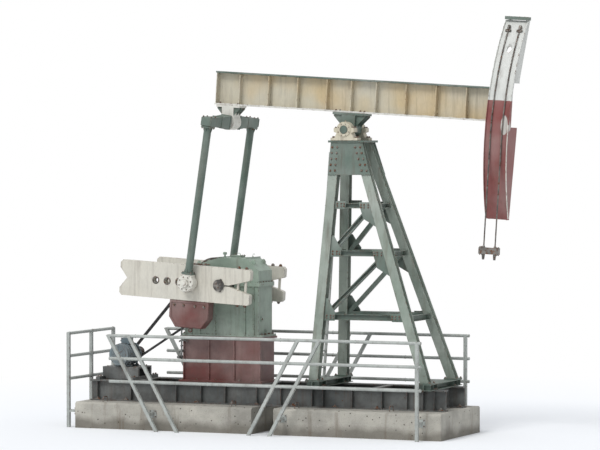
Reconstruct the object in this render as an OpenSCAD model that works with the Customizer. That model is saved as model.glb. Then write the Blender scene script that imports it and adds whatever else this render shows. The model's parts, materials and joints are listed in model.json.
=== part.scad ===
// Oil-field pumping unit with a rocking beam, crank counterweights and a horse head swung aside.
// Millimetres. X runs towards the head, Z is up, Y = 0 is the plane of symmetry.
// The ground is Z = 0 and the main bearing stands over the origin.

/* [Linkage] */
// Height of the main bearing above the ground
pivot_h = 5720; // [5680:10:5760]
// Main bearing to tail bearing
rear_arm = 2500; // [2460:10:2540]
// Main bearing to the rope line at the head
front_arm = 3500; // [3440:10:3600]
// Crankshaft behind the main bearing
crank_back = 2350; // [2300:10:2400]
// Height of the crankshaft
crank_z = 2780; // [2760:10:2820]
// Crankshaft to crank pin
pin_radius = 600; // [580:10:620]
// Tail bearing to crank pin
pitman_len = 3090; // [3060:10:3120]
// Angle of the crank above level
crank_up = 3.5; // [1:0.1:7]

/* [Walking beam] */
// Depth of the beam
beam_h = 640; // [600:10:700]
// Width of its flanges
beam_w = 280; // [250:10:320]
// Thickness of its flanges
beam_flange = 30; // [20:1:36]
// Thickness of its web
beam_web = 18; // [14:1:26]
// Underside of the beam above the bearing axis
beam_lift = 320; // [300:5:340]
// Tail of the beam behind the main bearing
beam_tail = 2800; // [2740:10:2900]

/* [Horse head] */
// Width of the rope face
head_w = 450; // [420:10:500]
// Hinge pin behind the rope line
head_back = 450; // [440:5:480]
// Top of the rope arc above the beam axis, degrees
arc_top = 39.5; // [38.5:0.5:41]
// Bottom of the rope arc below the beam axis, degrees
arc_low = 25; // [24:0.5:26]
// Radius of the hinge pin
head_pin_r = 45; // [38:1:55]

/* [Cranks] */
// Shaft to the tip of the crank
crank_tip = 2080; // [2020:10:2100]
// Shaft to the clamp end of the crank
crank_hub = 640; // [610:10:680]
// Width of the crank
crank_w = 680; // [660:10:720]
// Inner face of the crank from the middle plane
crank_in = 740; // [735:5:760]
// Thickness of the crank
crank_t = 130; // [110:5:135]
// Radius of the crankshaft
shaft_r = 110; // [95:5:120]
// Plane of the pitmans from the middle plane
pitman_y = 1000; // [990:5:1020]

/* [Frame] */
// Height of the concrete blocks
plinth_h = 500; // [460:10:520]
// Width of the concrete blocks
plinth_w = 2100; // [2000:20:2200]
// Depth of the skid rails
skid_h = 400; // [360:10:400]
// Rail centres from the middle plane
skid_y = 500; // [490:5:510]
// Size of the post legs
leg_w = 180; // [150:5:190]
// Legs from the middle plane at their feet
leg_foot_y = 720; // [700:10:740]
// Legs from the middle plane at the top
leg_top_y = 230; // [225:5:260]
// Height of the middle guard rail above the ground
guard_mid = 1370; // [1300:10:1420]
// Spacing of the guard rails
guard_step = 435; // [400:5:460]

/* [Hidden] */
$fn = 64;
// seat between pieces that touch, and running fit of a shaft
seat = 0.3;
run = 0.05;

// crank pin and tail bearing by the crossing of two circles
pin_x = -crank_back - pin_radius * cos(crank_up);
pin_z = crank_z + pin_radius * sin(crank_up);
pin_dist = norm([pin_x, pin_z - pivot_h]);
tail_in = acos((rear_arm * rear_arm + pin_dist * pin_dist - pitman_len * pitman_len)
    / (2 * rear_arm * pin_dist));
tilt = tail_in - atan2(pivot_h - pin_z, -pin_x);
tail_x = -rear_arm * cos(tilt);
tail_z = pivot_h + rear_arm * sin(tilt);
pitman_lean = atan2(tail_x - pin_x, tail_z - pin_z);

// rails and blocks along X
skid_rear = -5200;
skid_len = 7300;
block_a = -5300;
block_b = -1600;
block_c = -1150;
block_d = 2200;
// cross members of the skid: four under the motor, then under the gearbox and the post
cross_rear = -5100;
cross_step = 850;
gear_cross = -1650;
mid_cross = -650;
post_cross = 650;

// frame heights
skid_top = plinth_h + skid_h;
skid_b = 200;
skid_web = 16;
skid_flange = 24;
sill_h = 120;
leg_web = 16;
leg_flange = 14;
// level and depth of the braces across the ends of the post
end_low_z = 2150;
end_low_h = 110;
end_mid_z = 3350;
end_mid_h = 100;
end_top_z = 4250;
end_top_h = 90;
// level braces of each side, up its slope, and the diagonals between them
side_low = 1150;
side_low_h = 110;
side_mid = 2350;
side_mid_h = 100;
side_top = 3250;
side_top_h = 90;
brace_t = 10;
diag_w = 110;
diag_t = 12;
sill_top = skid_top + sill_h;
bearing_h = 200;
cap_t = 40;
cap_top = pivot_h - bearing_h;
leg_z = cap_top - cap_t;
leg_rise = leg_z - sill_top;
leg_lean = atan2(leg_foot_y - leg_top_y, leg_rise);
leg_run = leg_rise / cos(leg_lean);

// feet and tops of the legs along X
rear_foot = -450;
rear_head = -190;
front_foot = 1780;
front_head = 230;
ladder_foot = rear_foot - 200;
ladder_head = rear_head - 150;

// hinge pin of the head along the beam
head_x = front_arm - head_back;
lug_t = 80;
lug_gap = 5;
lug_low = beam_lift - 90;
lug_high = beam_lift + beam_h + 90;

// steel ropes over the rope face and down to the carrier bar
rope_r = 14;
rope_y = 110;
bar_z = -2050;

// main shaft and saddle of the beam
main_r = 75;
block_in = 205;
block_t = 170;
tail_r = 60;
tail_half = 170;
bar_in = 190;
bar_end = 90;

// gearbox
box_half = 320;
// gearbox body behind and before its shaft, its flanges, the pedestal's plates and the lid
box_back = 960;
box_front = 580;
box_lip = 40;
sole = 100;
sole_y = 400;
lid_h = 500;
rib_y = 330;
box_foot = crank_z - 1000;
input_x = -crank_back - 650;
mid_x = -crank_back - 380;
input_z = crank_z + 50;
input_r = 45;
sheave_r = 430;
sheave_in = 365;
sheave_t = 190;
drum_r = 260;
motor_x = -4700;
motor_r = 190;
motor_z = skid_top + 480;
pulley_r = 110;
belt_t = 18;
belt_w = 22;
belt_pitch = 42;
belt_count = 4;
belt_in = sheave_in + 16;

// guards
guard_y = 1290;
// ends of the long rails, their slanting stays, the upright post and the rear fence
guard_a = -4450;
guard_b = 1900;
guard_post = 1820;
stay_rear = -3440;
stay_front = -1150;
stay_run = 1040;
stay_gap = 430;
guard_rear_x = -5480;
guard_rear_y = 1000;
rail_r = 30;

// square bar between two points, w in the side plane, d across it
module strut(p, q, w, d) {
    v = q - p;
    len = norm(v);
    translate(p)
        rotate([-asin(v[1] / len), atan2(v[0], v[2]), 0])
            translate([-w / 2, -d / 2, 0])
                cube([w, d, len]);
}

// round bar between two points
module pole(p, q, r) {
    v = q - p;
    len = norm(v);
    translate(p)
        rotate([-asin(v[1] / len), atan2(v[0], v[2]), 0])
            cylinder(r = r, h = len);
}

// round bar along Y
module rod_y(r, y0, y1) {
    translate([0, y0, 0])
        rotate([-90, 0, 0])
            cylinder(r = r, h = y1 - y0);
}

// a drawing in X and Z with thickness along Y, from y0
module slab_xz(y0, t) {
    translate([0, y0 + t, 0])
        rotate([90, 0, 0])
            linear_extrude(t)
                children();
}

// both sides of the middle plane
module both_sides() {
    children();
    mirror([0, 1, 0])
        children();
}

// block by its corners
module block(a, b) {
    translate(a)
        cube(b - a);
}

// everything between two heights
module between(z0, z1) {
    intersection() {
        children();
        block([-8000, -3000, z0], [8000, 3000, z1]);
    }
}

// rolled section along X, underside at Z = 0
module i_beam(len, h, b, tw, tf) {
    rotate([90, 0, 90])
        linear_extrude(len)
            polygon([[-b / 2, 0], [b / 2, 0], [b / 2, tf], [tw / 2, tf], [tw / 2, h - tf],
                [b / 2, h - tf], [b / 2, h], [-b / 2, h], [-b / 2, h - tf], [-tw / 2, h - tf],
                [-tw / 2, tf], [-b / 2, tf]]);
}

// places of the moving bodies
module at_beam() {
    translate([0, 0, pivot_h])
        rotate([0, tilt, 0])
            children();
}

module at_head() {
    at_beam()
        translate([head_x, 0, 0])
            rotate([0, 0, -90])
                children();
}

module at_pitman() {
    translate([tail_x, 0, tail_z])
        rotate([0, pitman_lean, 0])
            children();
}

module at_crank() {
    translate([-crank_back, 0, crank_z])
        rotate([0, crank_up, 0])
            children();
}

// a drawing in the leaning plane of one side of the post
module side_plane(t, shift = 0) {
    translate([0, leg_foot_y, sill_top])
        rotate([leg_lean, 0, 0])
            translate([0, shift + t / 2, 0])
                rotate([90, 0, 0])
                    linear_extrude(t)
                        children();
}

function rear_x(w) = rear_foot + (rear_head - rear_foot) * w / leg_run;
function front_x(w) = front_foot + (front_head - front_foot) * w / leg_run;

// concrete block with a bevelled top along its sides
module plinth(x0, x1) {
    y = plinth_w / 2;
    color("silver")
        translate([x0, 0, 0])
            rotate([90, 0, 90])
                linear_extrude(x1 - x0)
                    polygon([[-y, 0], [y, 0], [y, plinth_h - 40], [y - 40, plinth_h],
                        [40 - y, plinth_h], [-y, plinth_h - 40]]);
}

module skid_rail(side) {
    color("dimgray")
        translate([skid_rear, side * skid_y, plinth_h])
            i_beam(skid_len, skid_h, skid_b, skid_web, skid_flange);
}

module skid_cross_members() {
    color("dimgray")
        for (x = [cross_rear, cross_rear + cross_step, cross_rear + 2 * cross_step,
            cross_rear + 3 * cross_step, gear_cross, mid_cross, post_cross, front_foot]) {
            block([x - 7, -skid_y + 8 + seat, plinth_h + 24 + seat],
                [x + 7, skid_y - 8 - seat, skid_top - 24 - seat]);
            for (z = [plinth_h, skid_top - 24])
                block([x - 60, -skid_y + 100 + seat, z], [x + 60, skid_y - 100 - seat, z + 24]);
            block([x - 7, -skid_y + 200, plinth_h + 1], [x + 7, skid_y - 200, skid_top - 1]);
        }
}

module post_sills() {
    color("darkslategray")
        for (x = [rear_foot, front_foot])
            union() {
                for (z = [skid_top, sill_top - leg_flange])
                    block([x - 140, -leg_foot_y - 140, z], [x + 140, leg_foot_y + 140, z + leg_flange]);
                block([x - leg_web / 2, -leg_foot_y - 140, skid_top + 1],
                    [x + leg_web / 2, leg_foot_y + 140, sill_top - 1]);
                for (y = [-leg_foot_y - 70, -leg_foot_y + 70, -skid_y + 60, skid_y - 60, leg_foot_y - 70,
                    leg_foot_y + 70])
                    block([x - 125, y - 6, skid_top + 1], [x + 125, y + 6, sill_top - 1]);
            }
}

// rolled section from foot to head in the leaning plane, its web across that plane
module leg_strip(foot, head, w) {
    slope = (head - foot) / leg_run;
    polygon([[foot - w / 2 - slope * 60, -60], [foot + w / 2 - slope * 60, -60],
        [head + w / 2 + slope * 60, leg_run + 60], [head - w / 2 + slope * 60, leg_run + 60]]);
}

module leg(foot, head) {
    reach = leg_w / 2 - 10;
    between(sill_top, leg_z - seat)
        union() {
            for (side = [-1, 1])
                side_plane(leg_flange, side * (reach - leg_flange / 2))
                    leg_strip(foot, head, leg_w);
            side_plane(2 * reach - 2)
                leg_strip(foot, head, leg_web);
        }
}

module post_rear_legs() {
    color("slategray")
        both_sides()
            leg(rear_foot, rear_head);
}

module post_front_legs() {
    color("slategray")
        both_sides()
            leg(front_foot, front_head);
}

// level bar between the rear and the front leg of one side
module side_bar(w, h) {
    g = leg_web / 2 + seat;
    polygon([[rear_x(w) + g, w], [front_x(w) - g, w], [front_x(w + h) - g, w + h],
        [rear_x(w + h) + g, w + h]]);
}

// diagonal between two level bars of one side, from the rear leg up to the front leg
module side_diagonal(w0, w1, b, cut = 0) {
    g = leg_web / 2 + seat + 70;
    polygon([[rear_x(w0) + g + cut, w0 - 1], [rear_x(w0) + g + b - cut, w0 - 1],
        [front_x(w1 + 1) - g - cut, w1 + 1], [front_x(w1) - g - b + cut, w1 + 1]]);
}

module post_side_braces() {
    bars = [[side_low, side_low_h], [side_mid, side_mid_h], [side_top, side_top_h]];
    color("darkslategray")
        both_sides()
            difference() {
                side_plane(80)
                    union() {
                        for (bar = bars)
                            side_bar(bar[0], bar[1]);
                        for (i = [0, 1])
                            side_diagonal(bars[i][0] + bars[i][1], bars[i + 1][0], diag_w);
                    }
                side_plane(70, 15)
                    union() {
                        for (bar = bars)
                            side_bar(bar[0] + brace_t, bar[1] - 2 * brace_t);
                        for (i = [0, 1])
                            side_diagonal(bars[i][0] + bars[i][1] + diag_t, bars[i + 1][0] - diag_t,
                                diag_w - diag_t, diag_t);
                    }
            }
}

module end_bar(z, h, foot, head) {
    f = (z + h / 2 - sill_top) / leg_rise;
    x = foot + (head - foot) * f;
    y_low = leg_foot_y + (leg_top_y - leg_foot_y) * (z - sill_top) / leg_rise;
    y_high = leg_foot_y + (leg_top_y - leg_foot_y) * (z + h - sill_top) / leg_rise;
    g = (leg_w - 20) / 2 / cos(leg_lean) + seat;
    difference() {
        translate([x - 40, 0, 0])
            rotate([90, 0, 90])
                linear_extrude(80)
                    polygon([[-y_low + g, z], [y_low - g, z], [y_high - g, z + h], [-y_high + g, z + h]]);
        block([x - (foot < 0 ? 50 : 30), -2000, z + 10], [x + (foot < 0 ? 30 : 50), 2000, z + h - 10]);
    }
}

module post_end_braces() {
    color("darkslategray")
        for (ends = [[rear_foot, rear_head], [front_foot, front_head]]) {
            end_bar(end_low_z, end_low_h, ends[0], ends[1]);
            end_bar(end_mid_z, end_mid_h, ends[0], ends[1]);
            end_bar(end_top_z, end_top_h, ends[0], ends[1]);
        }
}

module post_cap() {
    w0 = leg_run - 620;
    color("darkslategray")
        union() {
            block([-330, -350, leg_z], [400, 350, cap_top]);
            both_sides()
                between(leg_z - 700, leg_z + 1)
                    side_plane(20, leg_w / 2 - 10 + 10 + seat)
                        polygon([[rear_x(w0) - leg_w / 2, w0], [front_x(w0) + leg_w / 2, w0],
                            [front_head + leg_w / 2 + 20, leg_run + 40],
                            [rear_head - leg_w / 2, leg_run + 40]]);
        }
}

module ladder() {
    top = leg_z - 180;
    color("silver")
        union() {
            for (y = [-200, 200])
                between(skid_top + seat, top)
                    strut([ladder_foot, y, skid_top], [ladder_head, y, top], 50, 30);
            for (i = [1 : 13])
                let (f = i / 14)
                    translate([ladder_foot + (ladder_head - ladder_foot) * f, 0,
                        skid_top + (top - skid_top) * f])
                        rod_y(13, -200, 200);
            for (z = [3380, 4275])
                let (f = (z - skid_top) / (top - skid_top))
                    block([ladder_foot + (ladder_head - ladder_foot) * f, -190, z],
                        [rear_x((z - sill_top) / cos(leg_lean)) - 40 - seat, 190, z + 40]);
        }
}

module saddle_bearings() {
    color("gainsboro")
        both_sides()
            difference() {
                union() {
                    slab_xz(block_in, block_t)
                        polygon([[-270, cap_top], [270, cap_top], [270, cap_top + 50], [190, cap_top + 50],
                            [150, pivot_h - 60], [205, pivot_h - 40], [205, pivot_h + 34],
                            [-205, pivot_h + 34], [-205, pivot_h - 40], [-150, pivot_h - 60],
                            [-190, cap_top + 50], [-270, cap_top + 50]]);
                    translate([0, 0, pivot_h])
                        rod_y(150, block_in, block_in + block_t);
                }
                translate([0, 0, pivot_h])
                    rod_y(main_r + run, block_in - 10, block_in + block_t + 10);
            }
}

module gearbox_pedestal() {
    top = box_foot;
    back = -crank_back - box_back;
    front = -crank_back + box_front;
    color("brown")
        union() {
            block([back - box_lip, -300, skid_top + 40], [front + box_lip, 300, top - 40]);
            for (x = [-1000, -470, 60, 596])
                block([-crank_back + x, -rib_y, skid_top + 30], [-crank_back + x + 24, rib_y, top - 30]);
            block([back - sole, -sole_y, skid_top], [front + sole, sole_y, skid_top + 40]);
            block([back - sole, -340, top - 40], [front + sole, 340, top]);
        }
}

module gearbox_housing() {
    foot = box_foot;
    back = -crank_back - box_back;
    front = -crank_back + box_front;
    color("darkseagreen")
        difference() {
            union() {
                block([back - 2 * box_lip, -box_half - 10, foot], [front + 2 * box_lip, box_half + 10, foot + 40]);
                block([back, -box_half, foot], [front, box_half, crank_z - 30]);
                block([back - box_lip, -box_half - 20, crank_z - 40], [front + box_lip, box_half + 20, crank_z]);
                translate([-crank_back, 0, crank_z])
                    rod_y(200, -box_half - 60, box_half + 60);
                translate([mid_x, 0, crank_z])
                    rod_y(105, -box_half - 35, box_half + 35);
                for (x = [-820, -650, -320, 300, 480])
                    block([-crank_back + x - 12, -box_half - 30, foot + 30],
                        [-crank_back + x + 12, box_half + 30, crank_z - 30]);
            }
            translate([-crank_back, 0, crank_z])
                rod_y(shaft_r + run, -600, 600);
            block([-6000, -600, crank_z], [0, 600, crank_z + 600]);
            translate([input_x, 0, input_z])
                rod_y(input_r + 60, -600, 600);
        }
}

module gearbox_cover() {
    back = -crank_back - box_back;
    front = -crank_back + box_front;
    lid = crank_z + lid_h;
    color("darkseagreen")
        difference() {
            union() {
                block([back - box_lip, -box_half - 20, crank_z + seat],
                    [front + box_lip, box_half + 20, crank_z + 40]);
                slab_xz(-box_half, 2 * box_half)
                    polygon([[back, crank_z + seat], [front, crank_z + seat], [front, lid - 240],
                        [front - 250, lid], [back + 700, lid], [back + 140, lid - 170], [back, lid - 300]]);
                intersection() {
                    union() {
                        translate([-crank_back, 0, crank_z])
                            rod_y(200, -box_half - 60, box_half + 60);
                        translate([mid_x, 0, crank_z])
                            rod_y(105, -box_half - 35, box_half + 35);
                        translate([input_x, 0, input_z])
                            rod_y(85, -box_half - 35, box_half + 35);
                    }
                    block([-6000, -600, crank_z + seat], [0, 600, crank_z + 600]);
                }
                for (x = [back + 700, front - 250])
                    block([x - 10, -box_half, lid - 10], [x + 10, box_half, lid + 15]);
                block([-crank_back - 100, -90, lid - 10], [-crank_back + 120, 90, lid + 30]);
            }
            translate([-crank_back, 0, crank_z])
                rod_y(shaft_r + run, -600, 600);
            translate([input_x, 0, input_z])
                rod_y(input_r + seat, -600, 600);
            block([-6000, -600, crank_z - 600], [0, 600, crank_z + seat]);
        }
}

module input_shaft() {
    color("gray")
        translate([input_x, 0, input_z])
            rod_y(input_r, -sheave_in - 150, sheave_in + sheave_t + 10);
}

// grooves of the belt wheels, one for each belt
module grooves(r) {
    for (i = [0 : belt_count - 1])
        translate([0, belt_in + i * belt_pitch, 0])
            rotate([-90, 0, 0])
                rotate_extrude()
                    polygon([[r - belt_t, 6], [r + 5, 1], [r + 5, belt_w + 7 + 4], [r - belt_t, belt_w + 6]]);
}

// wheel with an outer radius, a hub and a bore, along Y from y0
module pulley(r, hub, bore, y0, t, web) {
    difference() {
        union() {
            difference() {
                rod_y(r, y0, y0 + t);
                if (web > 0) {
                    rod_y(r - 60, y0 - 1, y0 + (t - web) / 2);
                    rod_y(r - 60, y0 + (t + web) / 2, y0 + t + 1);
                }
            }
            rod_y(hub, y0, y0 + t);
        }
        rod_y(bore, y0 - 2, y0 + t + 2);
    }
}

module driven_sheave() {
    color("slategray")
        translate([input_x, 0, input_z])
            difference() {
                pulley(sheave_r, 90, input_r + seat, sheave_in, sheave_t, 40);
                grooves(sheave_r);
                for (k = [0 : 4])
                    rotate([0, k * 72, 0])
                        translate([230, 0, 0])
                            rod_y(80, sheave_in, sheave_in + sheave_t);
            }
}

module brake_drum() {
    color("slategray")
        translate([input_x, 0, input_z])
            pulley(drum_r, 80, input_r + seat, -sheave_in - 130, 130, 30);
}

module brake_shoes() {
    color("brown")
        translate([input_x, 0, input_z])
            for (k = [0, 180])
                rotate([0, k, 0])
                    intersection() {
                        difference() {
                            rod_y(drum_r + 45, -sheave_in - 115, -sheave_in - 15);
                            rod_y(drum_r + seat, -sheave_in - 120, -sheave_in - 10);
                        }
                        block([80, -900, -220], [500, 900, 220]);
                    }
}

module brake_lever() {
    x = input_x - drum_r - 45 - seat;
    y = -sheave_in - 65;
    low = skid_top + 420;
    color("gray")
        union() {
            block([x - 40, y - 30, input_z - 90], [x, y + 30, input_z + 90]);
            pole([x - 25, y, low], [x - 25, y, input_z - 60], 16);
            translate([x - 25, y, low + 60])
                rod_y(28, -160, 20);
            block([x - 41, y, low + 150], [x - 9, -rib_y - seat, low + 190]);
        }
}

module motor_base() {
    top = motor_z - motor_r - 50;
    color("darkslategray")
        union() {
            for (y = [-300, 240])
                block([motor_x - 380, y, skid_top], [motor_x + 380, y + 60, top]);
            block([motor_x - 400, -skid_y - 60, skid_top], [motor_x - 320, skid_y + 60, skid_top + 60]);
            block([motor_x + 320, -skid_y - 60, skid_top], [motor_x + 400, skid_y + 60, skid_top + 60]);
            block([motor_x - 380, -300, top - 30], [motor_x + 380, 300, top]);
        }
}

// motor with fins along it, end shields, a fan cowl, feet and a terminal box
module motor() {
    top = motor_z - motor_r - 50;
    color("steelblue")
        union() {
            translate([motor_x, 0, motor_z]) {
                rod_y(motor_r - 5, -250, 210);
                for (y = [-230, 170])
                    rod_y(motor_r + 25, y, y + 30);
                rod_y(motor_r + 12, -380, -245);
                rod_y(motor_r - 50, 195, 245);
                rod_y(70, 240, 262);
                rod_y(28, 250, sheave_in + sheave_t);
                for (k = [0 : 23])
                    rotate([0, k * 15 + 7.5, 0])
                        block([motor_r - 20, -215, -3], [motor_r + 22, 180, 3]);
            }
            for (y = [-190, 110])
                block([motor_x - 175, y, top + seat], [motor_x + 175, y + 70, top + 30]);
            for (y = [-190, 110], x = [-150, 120])
                block([motor_x + x, y + 10, top + seat], [motor_x + x + 30, y + 60, motor_z - 100]);
            block([motor_x - 90, -80, motor_z + motor_r - 10], [motor_x + 90, 80, motor_z + motor_r + 110]);
        }
}

module motor_sheave() {
    color("slategray")
        translate([motor_x, 0, motor_z])
            difference() {
                pulley(pulley_r, 60, 28 + seat, sheave_in, sheave_t, 0);
                grooves(pulley_r);
            }
}

// outline of a band that runs round two wheels, wider by g
module belt_line(g) {
    dx = motor_x - input_x;
    dz = motor_z - input_z;
    d = norm([dx, dz]);
    dir = atan2(dz, dx);
    open = acos((sheave_r - pulley_r) / d);
    a = dir - open;
    b = dir + open;
    r1 = sheave_r + g;
    r2 = pulley_r + g;
    polygon([[input_x + r1 * cos(a), input_z + r1 * sin(a)],
        [motor_x + r2 * cos(a), motor_z + r2 * sin(a)],
        [motor_x + r2 * cos(b), motor_z + r2 * sin(b)],
        [input_x + r1 * cos(b), input_z + r1 * sin(b)]]);
    translate([input_x, input_z])
        circle(r = r1);
    translate([motor_x, motor_z])
        circle(r = r2);
}

module v_belts() {
    color("black")
        for (i = [0 : belt_count - 1])
            translate([0, belt_in + i * belt_pitch + 6 + seat, 0])
                difference() {
                    slab_xz(0, belt_w - 2 * seat)
                        belt_line(0);
                    slab_xz(-5, belt_w + 10)
                        belt_line(-belt_t + seat);
                }
}

// one long fence of round rails with slanting legs at both ends, held to the concrete by short arms
module guard_side() {
    top = guard_mid + guard_step;
    low = guard_mid - guard_step;
    arm_z = plinth_h - 180;
    lean = stay_run * (arm_z + 40) / (top + 60);
    for (x = [stay_rear - lean, stay_front + lean, guard_post])
        block([x - 25, plinth_w / 2 + seat, arm_z - 25], [x + 25, guard_y, arm_z + 25]);
    for (z = [low, guard_mid, top])
        pole([guard_a, guard_y, z], [guard_b, guard_y, z], rail_r);
    between(0, top + 20) {
        for (x = [0, stay_gap]) {
            strut([stay_rear + x, guard_y, -40], [stay_rear - stay_run + x, guard_y, top + 20], 60, 60);
            strut([stay_front - x, guard_y, -40], [stay_front + stay_run - x, guard_y, top + 20], 60, 60);
        }
        strut([guard_post, guard_y, -40], [guard_post, guard_y, top + 20], 60, 60);
    }
}

module guard_near() {
    color("lightgray")
        mirror([0, 1, 0])
            guard_side();
}

module guard_far() {
    color("lightgray")
        guard_side();
}

module guard_rear() {
    top = guard_mid + guard_step;
    low = guard_mid - guard_step;
    x = guard_rear_x;
    color("lightgray") {
        for (z = [low, guard_mid, top])
            pole([x, -guard_rear_y, z], [x, guard_rear_y, z], rail_r);
        for (y = [30 - guard_rear_y, 0, guard_rear_y - 30]) {
            block([x - 30, y - 30, 0], [x + 30, y + 30, top + 20]);
            block([x, y - 25, plinth_h - 205], [block_a - seat, y + 25, plinth_h - 155]);
        }
    }
}

module walking_beam() {
    front = head_x - 130;
    color("tan")
        at_beam()
            translate([0, 0, beam_lift])
                union() {
                    translate([-beam_tail, 0, 0])
                        i_beam(beam_tail + front, beam_h, beam_w, beam_web, beam_flange);
                    for (x = [-beam_tail + 20, -2300, -1700, -1100, -500, 0, 500, 1100, 1700, 2300, front - 20])
                        block([x - 8, -beam_w / 2 + 20, beam_flange - 1],
                            [x + 8, beam_w / 2 - 20, beam_h - beam_flange + 1]);
                }
}

module beam_saddle() {
    color("slategray")
        at_beam()
            union() {
                rod_y(main_r, -block_in - block_t - 20, block_in + block_t + 20);
                rod_y(135, -block_in + 15, block_in - 15);
                block([-135, -block_in + 15, 0], [135, block_in - 15, beam_lift - 40]);
                block([-330, -beam_w / 2 - 30, beam_lift - 45], [330, beam_w / 2 + 30, beam_lift - seat]);
            }
}

module tail_bearing() {
    color("gainsboro")
        at_beam()
            translate([-rear_arm, 0, 0])
                difference() {
                    union() {
                        rod_y(150, -tail_half, tail_half);
                        block([-120, -tail_half, 0], [120, tail_half, beam_lift - 30]);
                        block([-240, -tail_half, beam_lift - 40], [240, tail_half, beam_lift - seat]);
                    }
                    rod_y(tail_r + run, -tail_half - 5, tail_half + 5);
                }
}

module head_bracket() {
    low = lug_low + lug_gap;
    high = lug_high - lug_gap;
    color("darkslategray")
        at_beam()
            union() {
                translate([head_x, 0, lug_low - lug_t - 30])
                    cylinder(r = head_pin_r, h = lug_high - lug_low + 2 * lug_t + 60);
                translate([head_x, 0, low])
                    cylinder(r = 92, h = high - low);
                block([head_x - 130 + seat, -beam_w / 2, low], [head_x - 100, beam_w / 2, high]);
                block([head_x - 105, -14, low], [head_x, 14, high]);
                for (i = [0 : 4])
                    let (z = low + (high - low - 24) * i / 4)
                        block([head_x - 105, -116, z], [head_x, 116, z + 24]);
            }
}

// rope arc of the head in its own plane, X ahead of the hinge pin
module head_side() {
    intersection() {
        translate([-head_x, 0])
            difference() {
                circle(r = front_arm - rope_r - seat - 10);
                circle(r = front_arm - 1900);
            }
        difference() {
            polygon([[-560, front_arm * sin(arc_top)],
                [front_arm * cos(arc_top) - head_x + 60, front_arm * sin(arc_top)],
                [900, 1200], [900, -300],
                [front_arm * cos(arc_low) - head_x + 10, -front_arm * sin(arc_low)],
                [front_arm * cos(arc_low) - head_x - 150, -front_arm * sin(arc_low)],
                [-170, lug_low - lug_t], [-170, lug_high + lug_t]]);
            polygon([[-600, lug_low], [170, lug_low], [170, lug_high], [-600, lug_high]]);
        }
    }
}

// ring sector of the rope face
module head_band(r0, r1) {
    low = -arc_low;
    intersection() {
        translate([-head_x, 0])
            difference() {
                circle(r = r1);
                circle(r = r0);
            }
        polygon([[-head_x, 0], [5000 * cos(low) - head_x, 5000 * sin(low)],
            [5200, 0], [5000 * cos(arc_top) - head_x, 5000 * sin(arc_top)]]);
    }
}

module horse_head() {
    color("maroon")
        at_head()
            difference() {
                union() {
                    both_sides()
                        slab_xz(head_w / 2 - 60, 16)
                            head_side();
                    slab_xz(-head_w / 2, head_w)
                        head_band(front_arm - rope_r - seat - 24, front_arm - rope_r - seat);
                    for (z = [lug_low - lug_t, lug_high])
                        block([-165, -head_w / 2 + 50, z], [180, head_w / 2 - 50, z + lug_t]);
                    block([165, -head_w / 2 + 50, lug_low], [185, head_w / 2 - 50, lug_high]);
                    intersection() {
                        slab_xz(-head_w / 2 + 50, head_w - 100)
                            head_side();
                        union() {
                            for (z = [-1300, -1000, -650, -250, 1400, 1750, 2050])
                                block([-600, -head_w, z], [600, head_w, z + 14]);
                        }
                    }
                }
                translate([0, 0, -3000])
                    cylinder(r = head_pin_r + run, h = 6000);
            }
}

module head_cap() {
    z = front_arm * sin(arc_top);
    x = front_arm * cos(arc_top) - head_x;
    color("darkslategray")
        at_head()
            block([x - 120, -head_w / 2, z + seat], [x + 60, head_w / 2, z + 60]);
}

module bridle_ropes() {
    color("gray")
        at_head()
            both_sides()
                union() {
                    translate([-head_x, rope_y, 0])
                        rotate([90, 0, 0])
                            rotate_extrude(angle = 36, $fn = 64)
                                translate([front_arm, 0])
                                    circle(r = rope_r);
                    translate([head_back, rope_y, bar_z + 60 + seat])
                        cylinder(r = rope_r, h = -bar_z - 60 - seat);
                    translate([front_arm * cos(36) - head_x, rope_y, front_arm * sin(36)])
                        rotate([0, -36, 0])
                            translate([-14, -40, -60])
                                cube([44, 80, 120]);
                }
}

module carrier_bar() {
    color("slategray")
        at_head()
            difference() {
                block([head_back - 60, -190, bar_z - 60], [head_back + 60, 190, bar_z + 60]);
                translate([head_back, 0, bar_z - 100])
                    cylinder(r = 20, h = 200);
            }
}

module equalizer() {
    color("darkslategray")
        at_pitman()
            union() {
                rod_y(tail_r, -bar_in - 20, bar_in + 20);
                both_sides()
                    translate([-100, 0, 0])
                        rotate([90, 0, 90])
                            linear_extrude(200)
                                polygon([[bar_in, -130], [pitman_y - 330, -bar_end], [pitman_y + 90, -bar_end],
                                    [pitman_y + 110, -bar_end + 20], [pitman_y + 110, bar_end - 20],
                                    [pitman_y + 90, bar_end], [pitman_y - 330, bar_end], [bar_in, 130]]);
            }
}

module pitman_bar(side) {
    color("darkslategray")
        at_pitman()
            translate([0, side * pitman_y, 0])
                union() {
                    pole([0, 0, -pitman_len + 180], [0, 0, -bar_end - 10], 72);
                    pole([0, 0, -pitman_len + 170 + seat], [0, 0, -pitman_len + 200], 100);
                    pole([0, 0, -bar_end - 30], [0, 0, -bar_end - seat], 100);
                }
}

module pin_bearings() {
    color("slategray")
        at_pitman()
            both_sides()
                translate([0, 0, -pitman_len])
                    difference() {
                        union() {
                            rod_y(165, pitman_y - 90, pitman_y + 90);
                            block([-100, pitman_y - 80, 0], [100, pitman_y + 80, 170]);
                        }
                        rod_y(60 + seat, pitman_y - 100, pitman_y + 100);
                    }
}

module crank_pins() {
    color("gray")
        at_pitman()
            both_sides()
                translate([0, 0, -pitman_len])
                    rod_y(60, crank_in + crank_t + 6, pitman_y + 115);
}

module crankshaft() {
    color("gray")
        at_crank()
            rod_y(shaft_r, -crank_in - crank_t - 30, crank_in + crank_t + 30);
}

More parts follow.
